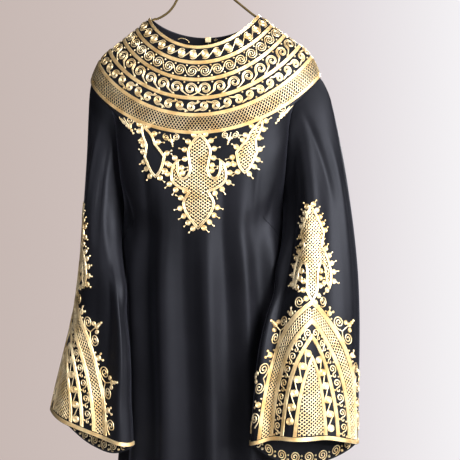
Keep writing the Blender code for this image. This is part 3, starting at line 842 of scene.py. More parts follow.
def cord_piece(name, lines, radius=CORD_RADIUS, material=GOLD_CORD, node=None):
    """Round cords along lines in space, as one mesh."""
    curve = bpy.data.curves.new(name, "CURVE")
    curve.dimensions = "3D"
    curve.bevel_depth = radius
    curve.bevel_resolution = 1
    curve.use_fill_caps = True
    for line in lines:
        spline = curve.splines.new("POLY")
        spline.points.add(len(line) - 1)
        spline.points.foreach_set("co", [value for point in line for value in (*point, 1.0)])
    drawn = bpy.data.objects.new(name + "_line", curve)
    bpy.context.collection.objects.link(drawn)
    ready = drawn.evaluated_get(bpy.context.evaluated_depsgraph_get())
    data = bpy.data.meshes.new_from_object(ready)
    bpy.data.objects.remove(drawn)
    data.name = name
    data.materials.clear()
    data.materials.append(material)
    data.shade_smooth()
    piece = bpy.data.objects.new(name, data)
    bpy.context.collection.objects.link(piece)
    sew_on(piece, node)
    data.calc_loop_triangles()
    print(f"{name}: {len(lines)} cords, {len(data.loop_triangles)} triangles")


# %% Balls
# Outline of a coiled ball from its foot to its crown, as shares of its radius.
BALL_PROFILE = ((1.0, 0.0), (1.0, 0.16), (0.84, 0.30), (0.66, 0.15), (0.48, 0.32), (0.3, 0.17),
                (0.0, 0.34))
DOT_PROFILE = ((1.0, 0.0), (1.0, 0.4), (0.7, 0.95), (0.0, 1.2))


def turned_template(name, profile, steps):
    """A small button, turned round +Z from its outline."""
    mesh = bmesh.new()
    verts = [mesh.verts.new((radius, 0, height)) for radius, height in profile]
    edges = [mesh.edges.new(pair) for pair in zip(verts, verts[1:])]
    bmesh.ops.spin(mesh, geom=verts + edges, axis=(0, 0, 1), cent=(0, 0, 0),
                   angle=2 * math.pi, steps=steps, use_merge=True)
    bmesh.ops.remove_doubles(mesh, verts=mesh.verts, dist=1e-5)
    foot = [edge for edge in mesh.edges if edge.is_boundary]
    bmesh.ops.contextual_create(mesh, geom=foot)
    bmesh.ops.recalc_face_normals(mesh, faces=mesh.faces)
    template = bpy.data.meshes.new(name)
    mesh.to_mesh(template)
    mesh.free()
    return template


BALL = turned_template("ball_template", BALL_PROFILE, 10)
DOT = turned_template("dot_template", DOT_PROFILE, 6)


def balls_piece(name, places, template):
    """Copies of a button on the cloth; places holds (point, direction, radius)."""
    mesh = bmesh.new()
    for point, normal, radius in places:
        start = len(mesh.verts)
        mesh.from_mesh(template)
        mesh.verts.ensure_lookup_table()
        turn = normal.to_track_quat("Z", "X").to_matrix().to_4x4()
        size = radius * MM
        for vert in mesh.verts[start:]:
            vert.co = point + turn @ (vert.co * size)
    sew_on(new_piece(name, mesh, GOLD_CORD, smooth_angle=75))
    print(f"{name}: {len(places)} of them")


# %% Braids
BRAID_HEIGHT = 1.9 * MM
BRAID_WIDTH = 6.0 * MM
BRAID_RIDGES = 5
RIDGE_STEPS = 3
VALLEY_SHARE = 0.45


def braid_piece(name, node, edges, closed=False):
    """A flat braid of parallel cords between two edges.

    edges(index, share) gives the place on the cloth at a station and a share of
    the braid's width, for index from 0 to edges.count.
    """
    across = BRAID_RIDGES * RIDGE_STEPS
    count = edges.count

    def place(column, row):
        share = column / across if column <= across else 0.0
        point, normal = edges(row % count if closed else row, share)
        wave = abs(math.sin(math.pi * BRAID_RIDGES * share))
        raised = 0 < column < across
        lift = BRAID_HEIGHT * (VALLEY_SHARE + (1 - VALLEY_SHARE) * wave) if raised else 0.0
        return point + normal * lift, normal

    mesh = mapped_grid(across + 1, count, place, (BRAID_WIDTH, edges.length * MM))
    if not closed:
        ends = [edge for edge in mesh.edges if edge.is_boundary]
        bmesh.ops.holes_fill(mesh, edges=ends)
    bmesh.ops.recalc_face_normals(mesh, faces=mesh.faces)
    sew_on(new_piece(name, mesh, GOLD_BRAID, smooth_angle=80), node)
    print(f"{name}: {edges.length:.0f} mm of braid")


class Edges:
    """Stations of a braid: two flat lines with the same count, and a place function."""

    def __init__(self, first, second, place, closed=False):
        self.first, self.second = first, second
        self.place = place
        self.count = len(first) if closed else len(first) - 1
        self.length = sum(math.dist(start, end) for start, end in zip(first, first[1:]))

    def __call__(self, station, share):
        (x0, y0), (x1, y1) = self.first[station], self.second[station]
        return self.place(x0 + (x1 - x0) * share, y0 + (y1 - y0) * share)


# %% [markdown]
# ## Scrolls, rows of balls and net
# The motifs are the ones that couched-cord workers share: a spiral, two spirals
# that run into each other, a hooked spiral, a running wave, and a net of zigzag
# cords that touch. Each could be a picture in the cloth's colour. We make real
# cord, so that light catches its side as it does on metal thread.

# %% Flat motifs
SPIRAL_STEPS = 15
PAIR_GAP = 2.4
LINK_TURNS = (125, 90, 55, 30)
RIM_GAP = 0.6


def spiral(x, y, radius, turns, start, way, eye=0.14):
    """A spiral's points from its open end to its eye; start is in degrees."""
    count = max(6, round(turns * SPIRAL_STEPS))
    points = []
    for index in range(count + 1):
        share = index / count
        reach = radius * (1 - (1 - eye) * share)
        angle = math.radians(start) + way * 2 * math.pi * turns * share
        points.append((x + reach * math.cos(angle), y + reach * math.sin(angle)))
    return points


def double_spiral(x, radius, way):
    """Two arms that run from opposite sides into one centre."""
    return [spiral(x, 0.0, radius, 1.1, start, way, eye=0.16) for start in (0, 180)]


def hooked_spiral(x, y, radius, way, up):
    """A spiral of two cords whose stem runs off along the band's edge."""
    strokes = []
    for inset in (0.0, PAIR_GAP):
        size = radius - inset
        curl = spiral(x, y, size, 1.45 - inset / 8, 90 * up + 40 * way * up, -way * up, eye=0.2)
        stem = [(x - way * (radius + 5.6 - inset), y + up * (radius + 0.2 - inset / 2)),
                (x - way * (radius + 1.6), y + up * (radius - 0.6 - inset / 2))]
        strokes.append(smooth_line(stem + curl[:1], 3) + curl[1:])
    return strokes


def wave_scroll(x, y, pitch, height, way):
    """One wave of a running scroll, in two cords side by side."""
    radius = 0.45 * pitch
    strokes = []
    for inset in (0.0, PAIR_GAP):
        size = radius - inset
        stem = [(x - way * (0.98 * pitch - inset), y + height / 2 - 1.2),
                (x - way * (0.74 * pitch - inset), y + height / 2 - 3.6 - inset / 2),
                (x - way * (size + 0.8), y + 0.16 * height)]
        curl = spiral(x, y, size, 1.35 - inset / 8, 180 if way > 0 else 0, way, eye=0.2)
        strokes.append(smooth_line(stem + curl[:1], 3) + curl[1:])
    return strokes


def link_thread(x, pitch, radius):
    """The S of thread that leaves one ball's rim and wraps the next on its other side."""
    rim = radius + RIM_GAP
    leave = [(rim * math.cos(math.radians(turn)), rim * math.sin(math.radians(turn)))
             for turn in LINK_TURNS]
    points = [(x + across, out) for across, out in leave]
    points.append((x + pitch / 2, 0.0))
    points += [(x + pitch - across, -out) for across, out in reversed(leave)]
    return smooth_line(points, 3)


NET_PITCH = 3.8
NET_WAVE = 5.4
NET_SWING = 0.86
NET_MARGIN = 0.4


def net_lines(length, half_width):
    """Zigzag cords side by side, which touch at their corners and leave lozenges."""
    lines = []
    rows = max(1, round(2 * half_width / NET_PITCH))
    pitch = 2 * half_width / rows
    count = round(length / NET_WAVE * 2)
    for line in range(rows):
        middle = -half_width + (line + 0.5) * pitch
        swing = pitch / 2 * NET_SWING * (1 if line % 2 else -1)
        lines.append([(length * step / count, middle + swing * (1 if step % 2 else -1))
                      for step in range(count + 1)])
    return lines


# %% [markdown]
# ## The yoke
# Six rings of braid go round the neck, over the shoulder seams and across the
# back. Between them lie a row of balls, a row of double spirals, a running
# scroll, a row of hooked spirals, and a band of net.

# %% Braids round the neck
YOKE_BRAIDS = named_rows(
    ("name", "start", "end"),
    (
        ("neck_braid", 0.6, 7.0),
        ("yoke_braid_1", 26.0, 32.0),
        ("yoke_braid_2", 55.0, 61.0),
        ("yoke_braid_3", 86.0, 92.0),
        ("yoke_braid_4", 114.0, 120.0),
        ("yoke_braid_5", 142.5, 148.5),
    ),
)
BRAID_STATION = 3.6
NECK_OPENING = 1.2


def yoke_braid(row):
    """One ring of braid; only the neck's is open, at the centre back."""
    middle = Ring((row["start"] + row["end"]) / 2)
    half = (row["end"] - row["start"]) / 2
    count = round(middle.length / BRAID_STATION)
    closed = row["name"] != "neck_braid"
    if closed:
        along = [middle.length * (index / count - 0.5) for index in range(count)]
    else:
        span = middle.length / 2 - NECK_OPENING
        along = [-span + 2 * span * index / count for index in range(count + 1)]
    edges = Edges([(s, -half) for s in along], [(s, half) for s in along], middle.place, closed)
    braid_piece(row["name"] + "_cords", row["name"], edges, closed)


for row in YOKE_BRAIDS:
    yoke_braid(row)

# %% Rows of scrolls and balls between the braids
YOKE_ROWS = named_rows(
    ("name", "middle", "height", "pitch"),
    (
        ("balls", FIRST_ROW, 19.0, 20.0),
        ("double_spirals", 43.5, 23.0, 21.3),
        ("waves", 73.5, 25.0, 24.7),
        ("hooked_spirals", 103.0, 22.0, 19.5),
        ("net", 131.2, 22.5, NET_WAVE),
    ),
)
YOKE_BALL_RADIUS = 6.2
HOOKED_RADIUS = 8.6
DOT_RADIUS = 1.7


def yoke_row(row):
    """One row between two rings of braid: sews its cords, returns its balls and dots."""
    middle = Ring(row["middle"])
    count = 2 * round(middle.length / row["pitch"] / 2)
    pitch = middle.length / count
    height = row["height"]
    strokes, balls, dots = [], [], []
    # The dots stand in the hollows of the scrolls, a little in from the braids.
    for index in range(count):
        x = (index - count / 2 + 0.5) * pitch
        way = 1 if x > 0 else -1
        if row["name"] == "balls":
            balls.append((x, 0.0))
            strokes.append(link_thread(x, pitch, YOKE_BALL_RADIUS))
        elif row["name"] == "double_spirals":
            strokes += double_spiral(x, pitch / 2 - RIM_GAP, way)
            dots.append((x + pitch / 2, height / 2 - 2.6))
            dots.append((x + pitch / 2, 2.8 - height / 2))
        elif row["name"] == "waves":
            strokes += wave_scroll(x, 0.4, pitch, height, way)
            dots.append((x - way * 0.5 * pitch, 2.4 - height / 2))
            dots.append((x + way * 0.12 * pitch, height / 2 - 1.9))
        elif row["name"] == "hooked_spirals":
            up = 1 if index % 2 else -1
            strokes += hooked_spiral(x, -up, HOOKED_RADIUS, way, up)
            dots.append((x + pitch / 2, up * (height / 2 - 2.3)))
    if row["name"] == "net":
        strokes = [[(s - middle.length / 2, v) for s, v in line]
                   for line in net_lines(middle.length, height / 2 - NET_MARGIN)]
    radius = FINE_RADIUS if row["name"] == "net" else CORD_RADIUS
    cord_piece("yoke_" + row["name"], [laid(line, middle.place) for line in strokes], radius)
    return ([(*middle.place(x, y), YOKE_BALL_RADIUS) for x, y in balls],
            [(*middle.place(x, y), DOT_RADIUS) for x, y in dots])


yoke_balls, yoke_dots = [], []
for row in YOKE_ROWS:
    more_balls, more_dots = yoke_row(row)
    yoke_balls += more_balls
    yoke_dots += more_dots
balls_piece("yoke_row_balls", yoke_balls, BALL)
balls_piece("yoke_row_dots", yoke_dots, DOT)
print("balls round the neck:", len(yoke_balls))

# %% [markdown]
# ## Pendants and medallions
# Below the yoke hang three pendants, and a medallion stands above the chevrons of
# each sleeve. Each is a shape outlined with double cord and edged with balls that
# each carry a dot on a stalk; all but the left pendant are filled with net. An outline
# is drawn for its right half, run by run, so that its corners stay sharp, and mirrored.

# %% Outlines
OUTLINES = {
    "centre": (
        ((0, 0), (11, 11), (18, 26), (16, 42), (14, 57), (20, 69), (29, 70), (35, 60), (36, 42)),
        ((36, 42), (44, 52), (45, 72), (33, 84), (15, 92)),
        ((15, 92), (25, 111), (17, 131), (0, 151)),
    ),
    "side": (
        ((0, 0), (9, 15), (9, 32)),
        ((9, 32), (19, 52)),
        ((19, 52), (9, 75), (0, 85)),
    ),
    "medallion": (
        ((0, 0), (12, 16), (28, 42)),
        ((28, 42), (19, 64)),
        ((19, 64), (31, 75), (42, 94), (45, 112), (41, 128)),
        ((41, 128), (34, 117), (31, 101), (24, 90), (16, 92), (12, 102), (11, 118), (10, 133),
         (0, 149)),
    ),
}
RUN_STEPS = 5
STRAIGHT_STEPS = 4
SHARPEST_CORNER = 0.55


def straight_line(start, end):
    """A straight flat line in a few even steps."""
    return [(start[0] + (end[0] - start[0]) * step / STRAIGHT_STEPS,
             start[1] + (end[1] - start[1]) * step / STRAIGHT_STEPS)
            for step in range(STRAIGHT_STEPS + 1)]


def outline_points(name):
    """A closed outline through its right runs and their mirrored left ones."""
    right = []
    for run in OUTLINES[name]:
        points = smooth_line(run, RUN_STEPS) if len(run) > 2 else straight_line(*run)
        right += points if not right else points[1:]
    return right + [(-x, y) for x, y in right[-2:0:-1]]


def moved_line(points, distance):
    """A closed flat line moved sideways; plus is outwards on a pendant."""
    moved = []
    for index, (x, y) in enumerate(points):
        before = points[index - 1]
        after = points[(index + 1) % len(points)]
        first = Vector((x - before[0], y - before[1])).normalized()
        second = Vector((after[0] - x, after[1] - y)).normalized()
        bisector = first + second
        side = Vector((bisector.y, -bisector.x)).normalized()
        across = Vector((first.y, -first.x)).dot(side)
        side /= max(across, SHARPEST_CORNER)
        moved.append((x + side.x * distance, y + side.y * distance))
    return moved


def inside_outline(point, outline):
    """Whether a flat point lies inside a closed outline."""
    x, y = point
    found = False
    for (x0, y0), (x1, y1) in zip(outline, outline[1:] + outline[:1]):
        if (y0 > y) != (y1 > y) and x < x0 + (y - y0) * (x1 - x0) / (y1 - y0):
            found = not found
    return found


def clipped(lines, outline):
    """The stretches of lines that lie inside an outline."""
    kept = []
    for line in lines:
        stretch = []
        for point in line:
            if inside_outline(point, outline):
                stretch.append(point)
                continue
            if len(stretch) > 1:
                kept.append(stretch)
            stretch = []
        if len(stretch) > 1:
            kept.append(stretch)
    return kept


def finer(lines):
    """Lines with a point halfway along each of their steps."""
    made = []
    for line in lines:
        points = [line[0]]
        for (x0, y0), (x1, y1) in zip(line, line[1:]):
            points += [((x0 + x1) / 2, (y0 + y1) / 2), (x1, y1)]
        made.append(points)
    return made


def stations_along(points, pitch, start):
    """Places every pitch along a flat line, as (x, y, outward x, outward y)."""
    found = []
    travelled, wanted = 0.0, start
    for (x0, y0), (x1, y1) in zip(points, points[1:]):
        length = math.dist((x0, y0), (x1, y1))
        while length and wanted <= travelled + length:
            part = (wanted - travelled) / length
            found.append((x0 + (x1 - x0) * part, y0 + (y1 - y0) * part,
                          (y1 - y0) / length, -(x1 - x0) / length))
            wanted += pitch
        travelled += length
    return found


# %% Pendants and medallions
EDGE_CORD_RADIUS = 1.15 * MM
EDGE_CORD_OFFSETS = (-1.3, 1.2)
EDGE_BALL_RADIUS = 4.6
EDGE_BALL_OUT = 7.0
EDGE_BALL_PITCH = 12.2
EDGE_DOT_OUT = 9.6
STALK_RADIUS = 0.75 * MM
NET_INSET = 2.6
EDGE_CORD_LIFT = 0.9 * MM
# The nearest that two balls, or a ball and a dot, may come, in radii of a ball.
NEAREST_BALL = 1.75
NEAREST_DOT = 1.3
STALK_START = 0.9


def edge_balls(points, place):
    """Balls along the outside of a line, each with a stalk and a dot."""
    radius = EDGE_BALL_RADIUS
    found = {"balls": [], "dots": [], "stalks": []}
    taken = []
    for x, y, side_x, side_y in stations_along(points, EDGE_BALL_PITCH, EDGE_BALL_PITCH / 2):
        ball = (x + side_x * EDGE_BALL_OUT, y + side_y * EDGE_BALL_OUT)
        if any(math.dist(ball, other) < NEAREST_BALL * radius for other in taken):
            continue
        taken.append(ball)
        tip = (ball[0] + side_x * EDGE_DOT_OUT, ball[1] + side_y * EDGE_DOT_OUT)
        found["balls"].append((*place(*ball), radius))
        if any(math.dist(tip, other) < NEAREST_DOT * radius for other in taken):
            continue
        found["dots"].append((*place(*tip), DOT_RADIUS))
        found["stalks"].append([(ball[0] + side_x * radius * STALK_START,
                                 ball[1] + side_y * radius * STALK_START), tip])
    return found


def figure(node, outline_name, place, with_net=True):
    """One pendant or medallion: its double cord, net, balls and dots."""
    name = node + "_trim"
    outline = outline_points(outline_name)
    cords = [moved_line(outline, offset) for offset in EDGE_CORD_OFFSETS]
    cords = [laid(line + line[:1], place, EDGE_CORD_LIFT) for line in cords]
    cord_piece(name + "_outline", cords, EDGE_CORD_RADIUS, node=node)
    if with_net:
        inner = moved_line(outline, -NET_INSET)
        low = max(y for x, y in outline)
        half = max(x for x, y in outline)
        net = [[(across, down) for down, across in line] for line in net_lines(low, half)]
        cord_piece(name + "_net", [laid(line, place) for line in clipped(finer(net), inner)],
                   FINE_RADIUS)
    rim = edge_balls(outline + outline[:1], place)
    cord_piece(name + "_stalks", [laid(line, place) for line in rim["stalks"]], STALK_RADIUS)
    balls_piece(name + "_balls", rim["balls"], BALL)
    balls_piece(name + "_dots", rim["dots"], DOT)


PENDANTS = {"centre": 1.5, "left": -27.5, "right": 32.0}
EMPTY_PENDANT = "left"
for name, angle in PENDANTS.items():
    figure("pendant_" + name, "centre" if name == "centre" else "side", front_field(angle),
           name != EMPTY_PENDANT)
for side in sleeves:
    figure("medallion_" + side, "medallion", sleeve_field(side))

# %% [markdown]
# ## Working along a curve
# The bands of a sleeve run down along its chevrons. A track is a flat curve with a
# distance along it and a distance out from it, so the rows that go straight round
# the yoke can bend down a chevron without being drawn again.

# %% Tracks


class Track:
    """Flat places along a curve and out to its side."""

    def __init__(self, points):
        self.points = points
        self.lengths = [0.0]
        for start, end in zip(points, points[1:]):
            self.lengths.append(self.lengths[-1] + math.dist(start, end))
        self.length = self.lengths[-1]
        self.sides = []
        for index in range(len(points)):
            x0, y0 = points[max(index - 1, 0)]
            x1, y1 = points[min(index + 1, len(points) - 1)]
            span = math.dist((x0, y0), (x1, y1))
            self.sides.append(((y1 - y0) / span, (x0 - x1) / span))

    def __call__(self, along, out):
        at = min(max(bisect.bisect_right(self.lengths, along), 1), len(self.points) - 1) - 1
        part = (along - self.lengths[at]) / (self.lengths[at + 1] - self.lengths[at])
        (x0, y0), (x1, y1) = self.points[at:at + 2]
        (u0, v0), (u1, v1) = self.sides[at:at + 2]
        return (x0 + (x1 - x0) * part + (u0 + (u1 - u0) * part) * out,
                y0 + (y1 - y0) * part + (v0 + (v1 - v0) * part) * out)


def bend(lines, track, way):
    """Lines along a track of the right leg, or mirrored; they end at the middle line."""
    made = []
    for line in lines:
        stretch, last = [], None
        for along, out in line:
            x, y = track(along, out)
            if last and (x >= 0) != (last[0] >= 0):
                stretch.append((0.0, last[1] + (y - last[1]) * last[0] / (last[0] - x)))
            last = (x, y)
            if x >= 0:
                stretch.append((way * x, y))
                continue
            if len(stretch) > 1:
                made.append(stretch)
            stretch = []
        if len(stretch) > 1:
            made.append(stretch)
    return made


HOOK_SHARE = 0.56
# How far a spiral's rim stays off the braid that it stands on.
SPIRAL_CLEAR = 1.4
SPRIG_STALK = 26.0
SPRIG_BALLS = ((0.0, 16.0, 3.6), (-5.0, 12.5, 3.2), (5.0, 12.5, 3.2), (0.0, 21.5, 2.6),
               (0.0, 26.5, 1.9))


def lying_s(x, radius):
    """An S along the band: a large spiral that runs out into a small hook."""
    hook = HOOK_SHARE * radius
    large = spiral(x - hook, 0.0, radius, 1.5, 0, 1)
    small = spiral(x + radius, 0.0, hook, 0.85, 180, 1, eye=0.3)
    return large[::-1] + small[1:]


def sprig(along, out, size):
    """A stalk with four small balls and a drop: one stroke and (along, out, radius) balls."""
    stalk = [(along, out), (along, out + SPRIG_STALK * size)]
    balls = [(along + x * size, out + y * size, radius * size) for x, y, radius in SPRIG_BALLS]
    return stalk, balls


# %% [markdown]
# ## Bands on the sleeves
# Four chevrons of braid stand one inside another below each medallion. Between
# them lie net, a row of S scrolls and a row of balls, and the innermost wedge is
# filled with net. Pairs of spirals and small sprigs grow from the outermost one.

# %% Chevron curves
CHEVRON_DOWN = (MEDALLION_TOP_Z - CHEVRON_TOP_Z) / MM
CHEVRON_REACH = 60.0
CHEVRON_WIDTH = 6.0
CHEVRON_APEX_WIDTH = 9.0
HEM_CLEARANCE = 7.9
CHEVRONS = named_rows(("apex", "spread"), ((0.0, 102.0), (28.0, 81.0), (52.0, 58.0), (84.0, 36.0)))
LEG_STATIONS = 60
# The stations lie closer near the apex, where a leg bends most.
LEG_EASE = 1.4
STATIONS_A_COLUMN = 5


def chevron_leg(apex, spread, foot):
    """The right leg of a chevron, from its apex to its foot, as (across, down)."""
    top = CHEVRON_DOWN + apex
    drop = foot - top
    leg = []
    for index in range(LEG_STATIONS + 1):
        down = drop * (index / LEG_STATIONS) ** LEG_EASE
        leg.append((spread * (1 - math.exp(-down / CHEVRON_REACH)), top + down))
    return leg


def both_legs(leg):
    """The whole chevron, from the left foot over the apex to the right one."""
    return [(-x, y) for x, y in reversed(leg[1:])] + leg


def chevron_edges(row, foot):
    """Outer and inner edge of one chevron's right leg."""
    outer = chevron_leg(row["apex"], row["spread"], foot)
    inner = chevron_leg(row["apex"] + CHEVRON_APEX_WIDTH, row["spread"] - CHEVRON_WIDTH, foot)
    return outer, inner


def middle_leg(first, second):
    """The curve halfway between two legs."""
    return [((x0 + x1) / 2, (y0 + y1) / 2) for (x0, y0), (x1, y1) in zip(first, second)]


class HemEdges:
    """Stations of the braid round a sleeve's hem."""

    def __init__(self, surface, low, high):
        self.surface, self.low, self.high = surface, low, high
        self.columns = surface.count * surface.column_step
        self.count = round(self.columns * STATIONS_A_COLUMN)
        self.length = self.columns * surface.pitch(surface.last_row)

    def __call__(self, station, share):
        column = station * self.columns / self.count
        foot = self.surface.at(column, self.surface.last_row)[0].z
        level = foot + (self.low + (self.high - self.low) * share) * MM
        return self.surface.at(column, self.surface.row_at_height(column, level))


# %% One sleeve's bands
BAND_SLACK = 0.5
SLEEVE_BALL_RADIUS = 5.7
SLEEVE_BALL_PITCH = 21.5
FIRST_BALL = {1: 12.0, -1: 24.0}
S_FIRST = 14.0
S_PITCH = 22.0
S_RADIUS = 6.6
S_END = 1.4 * S_RADIUS
# Dots beside an S, along and out, in radii of its large spiral.
S_DOTS = ((0.9, -0.95), (1.5, 0.9))
HEM_BRAID = (0.8, 7.0)

# One stretch of the border: a ball with two horns, then a sprig between two spirals.
BORDER_FIRST = 22.0
BORDER_PITCH = 72.0
BORDER_END = 12.0
BORDER_RADIUS = 8.8
BORDER_OUT = BORDER_RADIUS + SPIRAL_CLEAR
BORDER_TURNS = 1.9
BALL_AT = 23.0
BALL_END = 10.0
BALL_OUT = 6.0
HORN_TIPS = ((-4.4, 13.6), (4.4, 13.6))
BORDER_BALLS = ((0.0, BALL_OUT, 4.8), *((*tip, 2.1) for tip in HORN_TIPS),
                (-8.4, 2.6, DOT_RADIUS), (8.4, 2.6, DOT_RADIUS))
SPRIG_AT = 57.0
SPRIG_END = 4.0
SPRIG_OUT = 6.0
SPRIG_SIZE = 1.2
SPIRAL_OFFSET = 13.5
SPIRAL_END = 6.0


def net_band(first, second, way):
    """Net between two legs."""
    track = Track(middle_leg(first, second))
    half = abs(second[-1][0] - first[-1][0]) / 2 - BAND_SLACK
    return bend(finer(net_lines(track.length, half)), track, way)


def s_band(first, second, way):
    """S scrolls between two legs, with dots in the hollows."""
    track = Track(middle_leg(first, second))
    strokes, dots = [], []
    along = S_FIRST
    while along < track.length - S_END:
        strokes.append(lying_s(along, S_RADIUS))
        dots += [(along + ahead * S_RADIUS, out * S_RADIUS) for ahead, out in S_DOTS]
        along += S_PITCH
    return bend(strokes, track, way), [(way * x, y) for x, y in (track(*dot) for dot in dots)]


def ball_band(first, second, way):
    """A row of balls between two legs, linked by threads."""
    track = Track(middle_leg(first, second))
    balls, strokes = [], []
    along = FIRST_BALL[way]
    while along < track.length - SLEEVE_BALL_RADIUS:
        balls.append(track(along, 0.0))
        strokes.append(link_thread(along, SLEEVE_BALL_PITCH, SLEEVE_BALL_RADIUS))
        along += SLEEVE_BALL_PITCH
    return [(way * x, y) for x, y in balls], bend(strokes[:-1], track, way)


def wedge_net(inner, foot):
    """Net inside the innermost chevron."""
    outline = both_legs(inner)
    half = inner[-1][0]
    top = inner[0][1]
    lines = [[(across, top + down) for down, across in line]
             for line in net_lines(foot - top, half)]
    return clipped(finer(lines), outline)


def border(outer, way):
    """Spirals, sprigs and balls along the outside of the first chevron."""
    track = Track(outer)
    strokes = [spiral(BORDER_FIRST, BORDER_OUT, BORDER_RADIUS, BORDER_TURNS, -90, 1)]
    balls = []
    along = BORDER_FIRST
    while along < track.length - BORDER_END:
        at = along + BALL_AT
        if at < track.length - BALL_END:
            balls += [(at + x, out, radius) for x, out, radius in BORDER_BALLS]
            strokes += [[(at, BALL_OUT), (at + x, out)] for x, out in HORN_TIPS]
        root = along + SPRIG_AT
        for turn in (-1, 1):
            eye = root + turn * SPIRAL_OFFSET
            if eye < track.length - SPIRAL_END:
                strokes.append(spiral(eye, BORDER_OUT, BORDER_RADIUS, BORDER_TURNS, -90, turn))
                strokes.append(smooth_line([(root, 6.5), (root + turn * 0.55 * SPIRAL_OFFSET, 2.0),
                                            (eye, 1.4)], 4))
        if root < track.length - SPRIG_END:
            stalk, sprig_balls = sprig(root, SPRIG_OUT, SPRIG_SIZE)
            strokes.append(stalk)
            balls += sprig_balls
        along += BORDER_PITCH
    placed = []
    for distance, out, radius in balls:
        x, y = track(distance, out)
        placed.append((way * x, y, radius))
    return bend(strokes, track, way), placed


def sleeve_bands(side):
    """All braids, net, scrolls and balls below the medallion of one sleeve."""
    place = sleeve_field(side)
    foot = sleeve_foot(side) - HEM_CLEARANCE
    legs = [chevron_edges(row, foot) for row in CHEVRONS]
    for number, (outer, inner) in enumerate(legs, 1):
        edges = Edges(both_legs(outer), both_legs(inner), place)
        braid_piece(f"chevron_{number}_{side}_cords", f"chevron_{number}_{side}", edges)
    hem = HemEdges(sleeves[side], *HEM_BRAID)
    braid_piece(f"hem_braid_{side}_cords", f"hem_braid_{side}", hem, closed=True)
    nets = wedge_net(legs[3][1], foot)
    scrolls, balls, buttons = [], [], []
    for way in (-1, 1):
        nets += net_band(legs[0][1], legs[1][0], way)
        strokes, dots = s_band(legs[1][1], legs[2][0], way)
        scrolls += strokes
        buttons += [(x, y, DOT_RADIUS) for x, y in dots]
        row, threads = ball_band(legs[2][1], legs[3][0], way)
        scrolls += threads
        balls += [(x, y, SLEEVE_BALL_RADIUS) for x, y in row]
        strokes, more = border(legs[0][0], way)
        scrolls += strokes
        balls += [ball for ball in more if ball[2] > DOT_RADIUS]
        buttons += [ball for ball in more if ball[2] <= DOT_RADIUS]
    cord_piece(f"sleeve_{side}_net", [laid(line, place) for line in nets], FINE_RADIUS)
    cord_piece(f"sleeve_{side}_scrolls", [laid(line, place) for line in scrolls])
    balls_piece(f"sleeve_{side}_balls", [(*place(x, y), radius) for x, y, radius in balls], BALL)
    balls_piece(f"sleeve_{side}_dots", [(*place(x, y), radius) for x, y, radius in buttons], DOT)


for side in sleeves:
    sleeve_bands(side)

# %% [markdown]
# ## Inside the hems
# The sleeves are so wide that the inside of their back half shows below the front
# hem. The photographed dress carries a row of spirals there too. The same place
# function would lay them on the outside, so this one turns its direction round.

# %% A row of spirals inside each hem
INSIDE_PITCH = 24.0
INSIDE_RADIUS = 8.6
INSIDE_UP = 11.5
INSIDE_TURNS = 2.0
INSIDE_OFF = CLOTH_THICKNESS + 0.1 * MM
# Heights above the hem and radii of the balls between two spirals.
INSIDE_BALLS = ((INSIDE_UP - 5.5, 2.4), (INSIDE_UP + 1.5, DOT_RADIUS))


def inside_row(side):
    """Spirals and balls on the inside of one sleeve's back half."""
    surface = sleeves[side]
    half = surface.count * surface.column_step / 2
    width = surface.pitch(surface.last_row)

    def place(along, up):
        column = half + along / width
        foot = surface.at(column, surface.last_row)[0].z
        point, normal = surface.at(column, surface.row_at_height(column, foot + up * MM))
        return point - normal * INSIDE_OFF, -normal

    strokes, balls = [], []
    along = INSIDE_PITCH / 2
    while along < half * width - INSIDE_PITCH / 2:
        strokes.append(spiral(along, INSIDE_UP, INSIDE_RADIUS, INSIDE_TURNS, -90, 1))
        balls += [(along + INSIDE_PITCH / 2, up, radius) for up, radius in INSIDE_BALLS]
        along += INSIDE_PITCH
    cord_piece(f"sleeve_{side}_inside_row", [laid(line, place) for line in strokes])
    balls_piece(f"sleeve_{side}_inside_dots", [(*place(x, y), size) for x, y, size in balls], DOT)


for side in sleeves:
    inside_row(side)

# %% [markdown]
# ## Small motifs below the yoke
# Pairs of spirals with a sprig between them hang from the yoke's edge, larger ones
# near the armholes and small ones beside the middle pendant. The back has the
# larger ones too, since a maker would go on round the yoke.

# %% Spiral pairs on the yoke's edge
YOKE_PAIRS = named_rows(
    ("angle", "radius", "sprig"),
    (
        (-40.0, 7.2, 1.0),
        (-13.0, 5.7, 0.72),
        (16.5, 5.7, 0.72),
        (50.0, 8.0, 1.05),
        (128.0, 8.0, 1.05),
        (160.0, 8.0, 1.05),
        (-160.0, 8.0, 1.05),
        (-128.0, 8.0, 1.05),
    ),
)


PAIR_TURNS = 1.8
PAIR_SPREAD = 1.45
PAIR_SPREAD_GAP = 0.3
SPRIG_ROOT = 0.5


def yoke_pair(row):
    """Two spirals that hang from the yoke's edge, and a sprig between them."""
    place = front_field(row["angle"])
    radius = row["radius"]
    off = PAIR_SPREAD * radius + PAIR_SPREAD_GAP
    strokes = [spiral(way * off, radius + SPIRAL_CLEAR, radius, PAIR_TURNS, -90, way)
               for way in (-1, 1)]
    stalk, balls = sprig(0.0, SPRIG_ROOT * radius, row["sprig"])
    lines = [laid(line, place) for line in strokes + [stalk]]
    return lines, [(*place(x, y), size) for x, y, size in balls]


pair_cords, pair_balls = [], []
for row in YOKE_PAIRS:
    lines, balls = yoke_pair(row)
    pair_cords += lines
    pair_balls += balls
cord_piece("yoke_edge_scrolls", pair_cords, FINE_RADIUS)
balls_piece("yoke_edge_balls", pair_balls, BALL)

